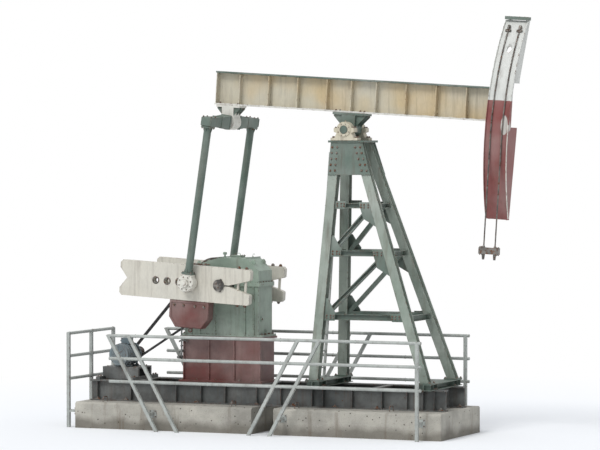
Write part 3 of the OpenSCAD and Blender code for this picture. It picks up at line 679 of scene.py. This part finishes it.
for side in BOTH:
    for leg_x in (rear_x, front_x):
        rows = [LEG_RUN - 0.54 + 0.11 * i for i in range(5)]
        spread = [((x, side * 0.1005, up), (0, side, 0)) for up in rows for x in pair(leg_x(up), 0.05)]
        post_bolts += bolts(0.02, spread, side_frame(side))
finish_piece("post_bolts", post_bolts)

feet, foot_bolts = [], []
FOOT_TOP = SILL_TOP + 0.02
for x in (REAR_FOOT, FRONT_FOOT):
    for side in BOTH:
        y = side * LEG_FOOT_Y
        feet.append(block(pair(x, 0.138), pair(y, 0.135), (SILL_TOP, FOOT_TOP)))
        foot_bolts += bolt_rows(0.02, pair(x, 0.115), pair(y, 0.11), FOOT_TOP)
        foot_bolts += bolt_rows(0.02, pair(x, 0.105), (side * 0.47, side * 0.55), SKID_TOP + 0.014)
finish_piece("post_base_plates", feet, post_enamel)
finish_piece("post_foot_bolts", foot_bolts)

# Main bearings on the post

bearing_ring = mm("79 0, 132 0, 132 12, 128 16, 92 16, 79 10")
grease_nipple = mm("0 0, 9 0, 9 10, 5 14, 5 26, 7 30, 0 34")
bearing_bolts, bearing_parts = [], []
for side in BOTH:
    rows = (side * 0.245, side * 0.335)
    bearing_bolts += bolt_rows(0.024, pair(0, 0.23), rows, CAP_TOP + 0.05)
    bearing_bolts += bolt_rows(0.02, pair(0, 0.18), rows, PIVOT.z + 0.034)
    face = (0, side * 0.375, PIVOT.z)
    bearing_bolts += bolt_circle(0.01, face, side, 0.014, 0.112, 8, 0.4)
    bearing_parts += [turned(bearing_ring, face, (0, side, 0), 40),
                      turned(grease_nipple, (0, side * 0.29, PIVOT.z + 0.149), sides=10)]
finish_piece("main_bearing_rings", bearing_parts, cream_enamel)
finish_piece("main_bearing_bolts", bearing_bolts)

# Guard rails and ladder

GUARD_Y = 1.29
RAILS = (0.935, 1.37, 1.805)
STAY_Z, STAY_RUN = 0.32, 1.04 * 0.36 / 1.865
rail_collar = mm("30.5 -6, 36 -3, 37 0, 36 3, 30.5 6")
rail_cap = mm("0 0, 30 0, 30 4, 20 10, 0 13")
guard_fittings, guard_bolts = [], []
for side in BOTH:
    for z in RAILS:
        guard_fittings += [turned(rail_cap, (x - way * 0.004, side * GUARD_Y, z), (way, 0, 0), 20)
                           for x, way in ((-4.45, -1), (1.9, 1))]
        guard_fittings += [turned(rail_collar, (x, side * (GUARD_Y - 0.0075), z), (1, 0, 0), 20)
                           for x in (-3.9, -2.4, -0.9, 0.6)]
    foot_y = (side * 1.0503, side * 1.0623)
    for x in (-3.44 - STAY_RUN, -1.15 + STAY_RUN, 1.82):
        guard_fittings.append(block(pair(x, 0.075), foot_y, pair(STAY_Z, 0.075)))
        guard_bolts += bolt_rows(0.012, pair(x, 0.052), foot_y[1], pair(STAY_Z, 0.052), (0, side, 0))
for y in (-0.97, 0, 0.97):
    guard_fittings.append(block((-5.3123, -5.3003), pair(y, 0.075), pair(STAY_Z, 0.075)))
    guard_bolts += bolt_rows(0.012, -5.3123, pair(y, 0.052), pair(STAY_Z, 0.052), (-1, 0, 0))
    guard_fittings += [turned(rail_collar, (-5.4725, y + 0.034 if y < 0.5 else y - 0.034, z), (0, 1, 0), 20)
                       for z in RAILS]
finish_piece("guard_fittings", guard_fittings, rail_enamel)
finish_piece("guard_bolts", guard_bolts)

LADDER_FOOT = Vector((REAR_FOOT - 0.2, 0, SKID_TOP))
LADDER_RUN = Vector((REAR_HEAD - 0.15, 0, LEG_TOP - 0.18)) - LADDER_FOOT
RUNGS = 14
bead = turned(mm("13.2 0, 21 0, 18 6, 13.2 10"), sides=14)
bead_places = [facing(LADDER_FOOT + LADDER_RUN * i / RUNGS + Vector((0, side * 0.185, 0)), (0, -side, 0))
               for i in range(1, RUNGS) for side in BOTH]
finish_piece("ladder_weld_beads", repeated(bead, bead_places), rail_enamel)
ladder_bolts = []
for z in (3.38, 4.275):
    x = LADDER_FOOT.x + LADDER_RUN.x * (z - SKID_TOP) / LADDER_RUN.z
    for side in BOTH:
        ladder_bolts += bolt_rows(0.014, x - 0.026, side * 0.19, z + 0.02, (-1, 0, 0))
finish_piece("ladder_bolts", ladder_bolts)

# Gearbox

PEDESTAL_FOOT = node_box("gearbox_pedestal")[0].z
HOUSE_FOOT = node_box("gearbox_housing")[0].z
LID_TOP = node_box("gearbox_cover")[1].z
INPUT = node_middle("driven_sheave")
SPLIT = SHAFT.z
BOX_HALF = 0.32


def from_shaft(*xs):
    """X coordinates given from the crankshaft."""
    return [SHAFT.x + x for x in xs]


box_bolts = []
for side in BOTH:
    for way in (1, -1):
        # the flange stands 20 mm out of the wall, so its bolts sit close to the edge
        box_bolts += bolt_rows(0.01, from_shaft(-0.88, -0.76, -0.3, 0.27, 0.42, 0.56), side * (BOX_HALF + 0.009),
                               SPLIT + way * 0.04, (0, 0, way))
    box_bolts += bolt_rows(0.008, from_shaft(-0.9, -0.5, 0, 0.48), side * 0.324, HOUSE_FOOT + 0.04)
    box_bolts += bolt_rows(0.02, from_shaft(-0.98, -0.7, -0.3, 0.2, 0.5), side * 0.372, PEDESTAL_FOOT + 0.04)
for x in from_shaft(-0.98, 0.6):
    box_bolts += bolt_rows(0.016, x, (-0.26, -0.13, 0, 0.13, 0.26), SPLIT + 0.04)
for x in from_shaft(-1, 0.62):
    box_bolts += bolt_rows(0.024, x, (-0.26, -0.09, 0.09, 0.26), HOUSE_FOOT + 0.04)

main_cover = mm("113 0, 192 0, 192 12, 186 18, 150 18, 140 30, 113 30")
covers = []
for side in BOTH:
    face = (SHAFT.x, side * (BOX_HALF + 0.06), SHAFT.z)
    covers.append(turned(main_cover, face, (0, side, 0), 48))
    box_bolts += bolt_circle(0.012, face, side, 0.017, 0.17, 12, 0.26)
# the middle shaft ends in a cover on the near side only
middle_cover = mm("0 0, 100 0, 100 9, 97 12, 62 12, 58 20, 50 26, 0 28")
face = (SHAFT.x - 0.38, -BOX_HALF - 0.035, SHAFT.z)
covers.append(turned(middle_cover, face, (0, -1, 0), 40))
box_bolts += bolt_circle(0.009, face, -1, 0.012, 0.082, 8, 0.4)
finish_piece("gearbox_bearing_covers", covers, gearbox_enamel)

# inspection lid with its handle, breather and dipstick
HATCH_TOP = LID_TOP + 0.012
box_bolts += bolt_rows(0.01, from_shaft(-0.09, 0.11), (-0.08, 0, 0.08), HATCH_TOP)
handle = mm("-50 0 0, -50 0 30, -35 0 45, 35 0 45, 50 0 30, 50 0 0")
breather = mm("0 0, 24 0, 24 30, 15 36, 15 55, 38 60, 38 95, 28 108, 0 110")
dipstick = mm("-10 0 0, -10 0 50, 0 0 70, 20 0 75, 30 0 60")
dipstick_seat = mm("0 0, 16 0, 16 20, 10 24, 0 24")
box_parts = [
    block(from_shaft(-0.11, 0.13), pair(0, 0.1), (LID_TOP, HATCH_TOP)),
    moved(tube(handle, 0.006), Matrix.Translation((SHAFT.x + 0.01, 0, LID_TOP + 0.008))),
    turned(breather, (SHAFT.x - 0.2, -0.14, LID_TOP - 0.032), sides=24),
    moved(tube(dipstick, 0.005), Matrix.Translation((SHAFT.x + 0.26, 0.16, LID_TOP - 0.035))),
    turned(dipstick_seat, (SHAFT.x + 0.25, 0.16, LID_TOP - 0.034), sides=16),
]
# lifting eyes, cut from plate, on the four shoulders of the lid
eye = mm("-50 0, 50 0, 50 35, 28 75, 0 88, -28 75, -50 35")
for x, z in ((SHAFT.x - 0.7, SPLIT + 0.352), (SHAFT.x + 0.44, SPLIT + 0.385)):
    for y in (-0.24, 0.22):
        box_parts += [moved(plate(eye, 0, 0.02), Matrix.Translation((x, y, z))),
                      ring((x, y + 0.01, z + 0.045), (0, 1, 0), 0.024, 0.009, 20)]
# drain plug and sight glass on the end of the housing
box_end = SHAFT.x + 0.58
plug = mm("0 0, 34 0, 34 12, 18 14, 18 34, 0 36")
glass_ring = mm("26 0, 50 0, 50 14, 44 18, 26 18")
glass = mm("0 2, 27 2, 27 12, 20 15, 0 16")
glass_place = (box_end, -0.18, HOUSE_FOOT + 0.34)
box_parts += [turned(plug, (box_end, 0, HOUSE_FOOT + 0.11), (1, 0, 0), 24),
              turned(glass_ring, glass_place, (1, 0, 0), 28)]
finish_piece("gearbox_lid_fittings", box_parts, gearbox_enamel)
finish_piece("oil_sight_glass", [turned(glass, glass_place, (1, 0, 0), 28)], sight_glass)
finish_piece("gearbox_bolts", box_bolts)

# Belt drive and brake

MOTOR = node_middle("motor_sheave")
hub_y = node_box("driven_sheave")[1].y
drum_y = node_box("brake_drum")[0].y
hub = mm("46 0, 78 0, 78 10, 70 16, 46 16")
small_hub = mm("29 0, 52 0, 52 6, 48 10, 29 10")
drum_hub = mm("46 0, 70 0, 70 8, 62 14, 46 14")
drive = [
    turned(hub, (INPUT.x, hub_y, INPUT.z), (0, 1, 0), 28),
    block(pair(INPUT.x, 0.007), (hub_y - 0.02, hub_y + 0.009), (INPUT.z + 0.036, INPUT.z + 0.052), 0.001),
    turned(small_hub, (MOTOR.x, hub_y, MOTOR.z), (0, 1, 0), 24),
    turned(drum_hub, (INPUT.x, drum_y, INPUT.z), (0, -1, 0), 28),
]
drive += bolt_circle(0.01, (INPUT.x, hub_y, INPUT.z), 1, 0.012, 0.062, 3, 0.2)
drive += bolt_circle(0.012, (INPUT.x, drum_y, INPUT.z), -1, -0.05, 0.12, 6, 0.1)
finish_piece("drive_hub_fittings", drive, cast_iron)

# tie rods through ears draw the brake shoes together, the upper one with a spring on it
SHOE_Y = node_middle("brake_drum").y
brake = []
for z in (0.235, -0.235):
    rod_z = INPUT.z + z * 1.36
    brake.append(bar((INPUT.x - 0.27, SHOE_Y, rod_z), (INPUT.x + 0.27, SHOE_Y, rod_z), 0.011))
    for side in BOTH:
        brake.append(block(pair(INPUT.x + side * 0.17, 0.022), pair(SHOE_Y, 0.025),
                           (INPUT.z + z * 0.86, INPUT.z + z * 1.46)))
        brake += bolt_rows(0.016, INPUT.x + side * 0.192, SHOE_Y, rod_z, (side, 0, 0))
spring_z = INPUT.z + 0.235 * 1.36
brake.append(tube([(INPUT.x - 0.12 + 0.24 * i / 120, SHOE_Y + 0.026 * cos(i * pi / 6),
                    spring_z + 0.026 * sin(i * pi / 6)) for i in range(121)], 0.005, 6))
finish_piece("brake_tie_rods", brake)

# grip, quadrant and pin of the brake lever
lever_low, lever_high = node_box("brake_lever")
lever_x = (lever_low.x + lever_high.x) / 2
grip_z = SKID_TOP + 0.42
grip = mm("0 0, 22 2, 26 12, 24 110, 27 118, 0 122")
arc = [(lever_x - 0.1 + 0.2 * i / 8, grip_z + 0.36 + 0.03 * sin(pi * i / 8)) for i in range(9)]
pin_z = grip_z + 0.27
lever = [
    turned(grip, (lever_low.x + 0.028, lever_low.y + 0.004, grip_z + 0.06), (0, 1, 0), 18),
    plate(arc + [(x, z - 0.035) for x, z in reversed(arc)], -0.345, 0.01),
    bar((lever_x, SHOE_Y - 0.034, pin_z), (lever_x, SHOE_Y + 0.034, pin_z), 0.014),
]
finish_piece("brake_lever_fittings", lever, skid_enamel)

# Motor

BASE_PLATE_TOP = MOTOR.z - 0.24
motor_bolts = []
for y in (-0.155, 0.145):
    motor_bolts += bolt_rows(0.014, pair(MOTOR.x, 0.158), y, BASE_PLATE_TOP + 0.03)
for side in BOTH:
    motor_bolts += bolt_rows(0.02, MOTOR.x + side * 0.36, (-0.53, -0.42, 0.42, 0.53), SKID_TOP + 0.06)
motor_bolts += bolt_rows(0.016, pair(MOTOR.x, 0.3), (-0.24, 0.24), BASE_PLATE_TOP)
# grille of the fan: rings and spokes in front of the cowl
cowl_y = -0.38
motor_parts = [ring((MOTOR.x, cowl_y - 0.002, MOTOR.z), (0, 1, 0), radius, 0.004, 36, 6)
               for radius in (0.05, 0.085, 0.12, 0.155)]
grille = Vector((MOTOR.x, cowl_y - 0.003, MOTOR.z))
for i in range(4):
    spoke = Vector((0.165 * cos(pi * i / 4), 0, 0.165 * sin(pi * i / 4)))
    motor_parts.append(bar(grille - spoke, grille + spoke, 0.004, 8, 0.001))
motor_bolts += bolt_circle(0.008, (MOTOR.x, cowl_y, MOTOR.z), -1, -0.001, 0.184, 4, 0.8)
motor_bolts += bolt_circle(0.009, (MOTOR.x, 0.2, MOTOR.z), 1, 0, 0.19, 8, 0.4)
# bearing shield, lid of the terminal box, cable gland, and the eye that it is lifted by
shield = mm("29 30, 100 30, 125 12, 135 10, 135 0, 29 0")
gland = mm("0 0, 26 0, 26 14, 21 16, 21 36, 14 42, 0 42")
eye_stem = mm("0 -30, 22 -30, 22 0, 14 4, 0 4")
terminal_z = MOTOR.z + 0.3
motor_parts += [
    turned(shield, (MOTOR.x, 0.243, MOTOR.z), (0, 1, 0), 36),
    block(pair(MOTOR.x, 0.096), pair(0, 0.086), (terminal_z - 0.01, terminal_z + 0.006)),
    turned(gland, (MOTOR.x - 0.09, -0.02, terminal_z - 0.05), (-1, 0, 0), 6),
    ring((MOTOR.x, 0.13, MOTOR.z + 0.213), (0, 1, 0), 0.028, 0.009, 24),
    turned(eye_stem, (MOTOR.x, 0.13, MOTOR.z + 0.188), sides=16),
]
motor_bolts += bolt_rows(0.006, pair(MOTOR.x, 0.08), (-0.07, 0.07), terminal_z + 0.006)
finish_piece("motor_fittings", motor_parts, motor_enamel)
finish_piece("motor_bolts", motor_bolts)

# Beam, in its own frame

beam_bolts = []
for size, xs, foot in ((0.02, (-0.29, -0.205, 0.205, 0.29), 0.275), (0.024, (-2.69, -2.31), 0.28)):
    for x in xs:
        beam_bolts += bolt_rows(size, x, (-0.105, 0.105), BEAM_LOW + 0.03)
        beam_bolts += bolt_rows(size, x, (-0.105, 0.105), foot, DOWN)
end_z = (0.3, 0.37, 0.49, 0.57, 0.69, 0.77, 0.89, 0.96)
beam_bolts += bolt_rows(0.018, HEAD_X - 0.1, (-0.112, 0.112), end_z, (1, 0, 0))
finish_piece("beam_bolts", beam_bolts, body="beam")

# ribs of the saddle and of the tail bearing: middle, near and far end, foot, top, and height of the tip
TAIL_X = -2.5
ribs = []
for y in (-0.138, -0.008, 0.122):
    for way in BOTH:
        for x, near, far, foot, top, tip in ((0, 0.136, 0.318, 0.06, 0.274, 0.248),
                                             (TAIL_X, 0.121, 0.232, 0.13, 0.279, 0.255)):
            near, far = x + way * near, x + way * far
            ribs.append(plate([(near, foot), (near, top), (far, top), (far, tip)], y, 0.016))
finish_piece("saddle_and_tail_ribs", ribs, post_enamel, "beam")

tail_ring = mm("64 0, 134 0, 134 5, 130 8, 72 8, 64 4")
tail_parts = [turned(tail_ring, (TAIL_X, side * 0.17, 0), (0, side, 0), 40) for side in BOTH]
tail_parts.append(turned(grease_nipple, (TAIL_X + 0.148, 0.05, 0), (1, 0, 0), 10))
finish_piece("tail_bearing_rings", tail_parts, white_enamel, "beam")

# hinge of the head: castle nuts with split pins on the ends of its pin, and a boss on each lug
castle_nut = mm("45.5 0, 70 0, 76 4, 76 20, 70 24, 45.5 24")
lug_boss = mm("45.8 0, 105 0, 98 18, 92 21, 45.8 21")
hinge, head_parts = [], []
for lug_z, way in ((1.13, 1), (0.15, -1)):
    nut_z = lug_z + way * 0.0215
    pin_z = nut_z + way * 0.014
    hinge += [turned(castle_nut, (HEAD_X, 0, nut_z), (0, 0, way), 6),
              bar((HEAD_X - 0.086, 0, pin_z), (HEAD_X + 0.092, 0, pin_z), 0.005, 8, 0.001),
              ring((HEAD_X + 0.098, 0, pin_z), UP, 0.009, 0.004, 12, 6)]
    head_parts.append(turned(lug_boss, (0, 0, lug_z), (0, 0, way), 36))
finish_piece("head_hinge_nuts", hinge, body="beam")

# Horse head, in its own frame

ROPE_ARM, ROPE_R, ROPE_Y = 3.5, 0.014, 0.11
FACE_R = ROPE_ARM - ROPE_R - 0.0003
BAR_TOP, BAR_LOW = -1.99, -2.11
HANG_X = ROPE_ARM - HEAD_X


def on_face(angle, radius, y):
    """A point of the rope arc, degrees above the beam's axis."""
    a = radians(angle)
    return Vector((radius * cos(a) - HEAD_X, y, radius * sin(a)))


def edge_bar(y, thickness, low_angle, high_angle):
    """Bar bent edgewise along the rope face, 22 mm proud of it, to keep the ropes on it."""
    steps = 28
    sweep = [low_angle + (high_angle - low_angle) * i / steps for i in range(steps + 1)]
    outer = [on_face(angle, FACE_R + 0.022, 0) for angle in sweep]
    inner = [on_face(angle, FACE_R, 0) for angle in reversed(sweep)]
    return plate([(point.x, point.z) for point in outer + inner], y, thickness, edge=0)


head_parts += [edge_bar(-0.2245, 0.012, -24.5, 39), edge_bar(0.2125, 0.012, 5, 39)]
finish_piece("head_edges_and_bosses", head_parts, head_enamel, "head")
finish_piece("head_pale_edge", [edge_bar(0.2125, 0.0125, -24.5, 4.6)], white_enamel, "head")

# wire rope: six strands laid round a core, one turn every 170 mm, over the face and down
LAY, STRANDS = 0.17, 6
STRAND_R, STRAND_OUT = 0.0048, 0.0092
ARC_TOP = radians(36)
ARC_LENGTH = ROPE_ARM * ARC_TOP
ROPE_LENGTH = ARC_LENGTH - BAR_TOP + 0.02


def rope_point(s, turn, out, y):
    """A point beside the rope's line, s metres from its upper end."""
    if s < ARC_LENGTH:
        a = ARC_TOP - s / ROPE_ARM
        middle = on_face(degrees(a), ROPE_ARM, y)
        outward = Vector((cos(a), 0, sin(a)))
    else:
        middle = Vector((HANG_X, y, -(s - ARC_LENGTH)))
        outward = Vector((1, 0, 0))
    return middle + out * (cos(turn) * outward + sin(turn) * Vector((0, 1, 0)))


def along_rope(count):
    """Distances from the rope's upper end, in so many equal steps."""
    return [ROPE_LENGTH * i / count for i in range(count + 1)]


# poured sockets hold the upper ends, each bolted to the face through a saddle plate
socket = mm("0 -55, 17 -55, 21 -50, 30 30, 30 55, 24 62, 0 62")
lower_socket = mm("0 2, 30 2, 30 30, 22 100, 17 105, 0 105")
rope_collar = mm("14.2 0, 26 0, 26 18, 20 30, 14.2 30")
saddle_plates = (((0.0005, 0.016), (-0.055, -0.018), 0.022), ((0.0005, 0.016), (0.018, 0.055), 0.022),
                 ((0.016, 0.032), (-0.055, 0.055), 0.02))
tangent = Vector((-sin(ARC_TOP), 0, cos(ARC_TOP)))
outward = Vector((cos(ARC_TOP), 0, sin(ARC_TOP)))
ropes, head_bolts = [], []
for y in (-ROPE_Y, ROPE_Y):
    for strand in range(STRANDS):
        points = [rope_point(s, 2 * pi * (s / LAY + strand / STRANDS), STRAND_OUT, y)
                  for s in along_rope(int(ROPE_LENGTH / 0.0142))]
        ropes.append(tube(points, STRAND_R, 6))
    ropes.append(tube([rope_point(s, 0, 0, y) for s in along_rope(60)], STRAND_R, 6))
    seat = Matrix.Translation(on_face(35.2, FACE_R, y)) @ Matrix.Rotation(-ARC_TOP, 4, "Y")
    ropes += [turned(socket, on_face(36, ROPE_ARM, y) + 0.012 * outward, tangent, 20),
              turned(lower_socket, (HANG_X, y, BAR_LOW), DOWN, 20),
              turned(rope_collar, (HANG_X, y, BAR_TOP + 0.0003), sides=18)]
    ropes += [moved(block(xs, ys, pair(0, half)), seat) for xs, ys, half in saddle_plates]
    head_bolts += bolt_rows(0.012, 0.032, (-0.04, 0.04), 0, (1, 0, 0), seat)
finish_piece("bridle_wire_ropes", ropes, rope_steel, "head", replaces=["bridle_ropes"])

for x in (0.405, 0.495):
    head_bolts += bolt_rows(0.016, x, (-0.165, 0.165), BAR_TOP)
    head_bolts += bolt_rows(0.016, x, (-0.165, 0.165), BAR_LOW, DOWN)
# the cap is held by low rivets
cap_end = on_face(39.5, ROPE_ARM, 0)
rivet = turned(mm("0 -4, 13 -4, 13 0.8, 10 2.6, 5 3.6, 0 3.8"), sides=16)
head_bolts += repeated(rivet, shifts([(x, y, cap_end.z + 0.06) for x in (cap_end.x - 0.08, cap_end.x + 0.02)
                                      for y in (-0.15, -0.05, 0.05, 0.15)]))
finish_piece("head_and_hanger_bolts", head_bolts, body="head")

# Pitmans and equalizer, in their own frame

PITMAN_Y, EQUALIZER_TOP = 1, 0.09
EQUALIZER_LOW, PLATE_LOW = -EQUALIZER_TOP - 0.0004, -EQUALIZER_TOP - 0.0285
BLOCK_TOP = -PITMAN_LENGTH + 0.1703
FOOT_PLATE_TOP = BLOCK_TOP + 0.032
pin_ring = mm("62 0, 152 0, 152 10, 146 15, 85 15, 62 8")
pin_nut = mm("0 -9, 70 -9, 78 -3, 78 30, 70 36, 42 36, 40 48, 34 52, 0 52")
pitman_plates, pitman_bolts, pin_parts = [], [], []
for side in BOTH:
    y = side * PITMAN_Y
    pitman_plates += [block(pair(0, 0.101), pair(y, 0.101), (PLATE_LOW, EQUALIZER_LOW)),
                      block(pair(0, 0.103), pair(y, 0.097), (BLOCK_TOP + 0.0001, FOOT_PLATE_TOP))]
    for dy in (-0.083, 0.083):
        for dx in (-0.083, 0.083):
            pitman_bolts += bolts(0.016, [((dx, y + dy, EQUALIZER_TOP), UP), ((dx, y + dy, PLATE_LOW), DOWN),
                                          ((dx, y + dy * 0.93, FOOT_PLATE_TOP), UP)])
    # ribs from the pipe to its end plates
    for quarter in range(4):
        for z, way in ((FOOT_PLATE_TOP, 1), (PLATE_LOW, -1)):
            rib = [(0.068, z), (0.097, z), (0.097, z + way * 0.012), (0.068, z + way * 0.11)]
            pitman_plates.append(moved(plate(rib, -0.005, 0.01), frame_at((0, y, 0), 0, quarter * pi / 2)))
    face = (0, side * (PITMAN_Y + 0.09), -PITMAN_LENGTH)
    pitman_bolts += bolt_circle(0.012, face, side, 0.014, 0.122, 8, 0.4)
    pin_parts += [turned(pin_ring, face, (0, side, 0), 40),
                  turned([(radius, height * 0.6) for radius, height in pin_ring],
                         (0, side * (PITMAN_Y - 0.09), -PITMAN_LENGTH), (0, -side, 0), 40),
                  turned(grease_nipple, (0, y, -PITMAN_LENGTH - 0.164), DOWN, 10),
                  turned(pin_nut, (0, side * (PITMAN_Y + 0.115), -PITMAN_LENGTH), (0, side, 0), 6)]
finish_piece("pitman_end_plates", pitman_plates, post_enamel, "pitmans")
finish_piece("pitman_bolts", pitman_bolts, body="pitmans")
finish_piece("pin_bearing_rings", pin_parts, white_enamel, "pitmans")

# diaphragm edges and end plates of the equalizer
equalizer_parts = []
for side in BOTH:
    equalizer_parts.append(block(pair(0, 0.108), (side * 1.1105, side * 1.1205), pair(0, 0.078)))
    for y, half in ((0.24, 0.1297), (0.62, 0.1005)):
        low, high = pair(0, half + 0.008)
        equalizer_parts.append(plate([(-0.108, low), (0.108, low), (0.108, high), (-0.108, high)], side * y - 0.007,
                                     0.014))
finish_piece("equalizer_end_plates", equalizer_parts, post_enamel, "pitmans")

# Cranks, in their own frame

CRANK_IN, CRANK_OUT, CRANK_HALF, SHAFT_END = 0.74, 0.87, 0.34, 0.9
PIN_X = -0.6
WEIGHT_OUT, WEIGHT_TOP, WEIGHT_SIDE, WEIGHT_FOOT = 0.85, -CRANK_HALF - 0.012, -CRANK_HALF - 0.326, -CRANK_HALF - 0.52
pin_collar = mm("61.5 0, 98 0, 92 5.5, 61.5 5.5")
bush = mm("50 -2, 74 -2, 74 4, 70 7, 54 7, 50 4")
shaft_cap = mm("0 0, 85 0, 85 8, 80 12, 0 12")
eye_foot = mm("0 0, 30 0, 26 14, 14 20, 0 20")
weight = [(-1, WEIGHT_TOP), (-0.2, WEIGHT_TOP), (-0.2, WEIGHT_SIDE), (-0.335, WEIGHT_FOOT + 0.01),
          (-0.865, WEIGHT_FOOT + 0.01), (-1, WEIGHT_SIDE)]
crank_bolts, bushes, shaft_parts, weight_parts = [], [], [], []
for side in BOTH:
    out, back = (0, side, 0), (0, -side, 0)
    for way in BOTH:
        crank_bolts += bolt_rows(0.036, (0.37, 0.53), side * (CRANK_IN + CRANK_OUT) / 2, way * CRANK_HALF,
                                 (0, 0, way))
    crank_bolts += bolt_rows(0.06, PIN_X, side * CRANK_IN, 0, back)
    bushes.append(turned(pin_collar, (PIN_X, side * CRANK_OUT, 0), out, 36))
    for x in (-0.84, -1.08, -1.32):
        bushes += [turned(bush, (x, side * CRANK_OUT, 0), out), turned(bush, (x, side * CRANK_IN, 0), back)]
    end = (0, side * SHAFT_END, 0)
    shaft_parts.append(turned(shaft_cap, end, out))
    crank_bolts += bolt_circle(0.016, end, side, 0.011, 0.052, 3, 0.5)
    for turn in (70, -70):
        key = block((0.086, 0.128), (side * (CRANK_OUT - 0.01), side * (SHAFT_END - 0.003)), pair(0, 0.018), 0.002)
        shaft_parts.append(moved(key, Matrix.Rotation(radians(turn), 4, "Y")))
    # the weights hang on bolts through the lower edge of the crank
    crank_bolts += bolt_rows(0.026, (-0.91, -0.72, -0.48, -0.29), side * WEIGHT_OUT, -0.435, out)
    crank_bolts += bolt_rows(0.026, (-0.86, -0.34), side * 0.69, -0.415, back)
    # cast rim round the outer face of each weight, and an eye to lift it by
    rim_height = 0.012
    rim_start = min(side * WEIGHT_OUT, side * (WEIGHT_OUT + rim_height))
    weight_y = side * (CRANK_IN + CRANK_OUT - 0.12) / 2
    weight_parts += [plate(weight, rim_start, rim_height, border=0.035),
                     turned(eye_foot, (PIN_X, weight_y, WEIGHT_FOOT), DOWN, 20),
                     ring((PIN_X, weight_y, WEIGHT_FOOT - 0.048), (0, 1, 0), 0.034, 0.011, 24)]
finish_piece("counterweight_rims", weight_parts, maroon_enamel, "cranks")
finish_piece("crank_bolts", crank_bolts, body="cranks")
finish_piece("crank_bushes", bushes, cast_iron, "cranks")
finish_piece("crankshaft_keys_and_caps", shaft_parts, shaft_steel, "cranks")

# Floor, light and camera

VIEW_AZIMUTH = radians(23)
CAMERA_HEIGHT, CAMERA_DISTANCE, LENS = 5.5, 62, 196
low, high = cad_bounds
aim = Vector(((low.x + high.x) / 2, 0, (low.z + high.z) / 2))

camera = added(bpy.ops.object.camera_add)
camera.name = "photo_view"
camera.data.sensor_width = 36
camera.data.lens = LENS
camera.data.clip_end = 400
camera.location = aim + Vector((sin(VIEW_AZIMUTH), -cos(VIEW_AZIMUTH), 0)) * CAMERA_DISTANCE
camera.location.z = CAMERA_HEIGHT
camera.rotation_euler = (aim - camera.location).to_track_quat("-Z", "Y").to_euler()
bpy.context.scene.camera = camera


def seen_white(put):
    """1 where the camera, a reflection or a pane looks at the background, which shows white there."""
    seen = put("LightPath", out="Is Camera Ray")
    for ray in ("Is Glossy Ray", "Is Transmission Ray"):
        seen = put("Math", seen, put("LightPath", out=ray), operation="MAXIMUM")
    return seen


def floor_material():
    """Matt pale studio floor that keeps the shadow near the part and turns to plain white further out."""
    material, put, place = new_material("studio_floor")
    distance = put("VectorMath", place, out="Value", operation="LENGTH")
    far = put("MapRange", distance, 7, 16)
    far = put("Math", far, seen_white(put), operation="MULTIPLY")
    matt = put("BsdfDiffuse", "#eeeff0")
    white = put("Emission", "#ffffff", 1)
    put("OutputMaterial", put("MixShader", far, matt, white))
    return material


def overcast():
    """Even winter sky: brighter overhead, white where the camera looks straight at it."""
    world = bpy.data.worlds.new("overcast")
    bpy.context.scene.world = world
    put = node_adder(world)
    up = put("SeparateXYZ", put("TexCoord", out="Generated"), out="Z")
    rise = put("MapRange", up, -0.1, 0.9)
    light = put("Background", coats(put, "#bcc2c9", (rise, (0.98, 1, 1.04, 1))), 0.85)
    white = put("Background", "#ffffff", 1)
    put("OutputWorld", put("MixShader", seen_white(put), light, white))


floor = added(bpy.ops.mesh.primitive_circle_add, vertices=64, radius=150, fill_type="NGON")
floor.name = "studio_floor"
floor.data.materials.append(floor_material())
sun = added(bpy.ops.object.light_add, type="SUN", rotation=Euler((radians(42), 0, radians(-18))))
sun.name = "soft_key"
sun.data.energy = 1.6
sun.data.angle = radians(25)
overcast()

for master in bolt_masters.values():
    bpy.data.objects.remove(master)
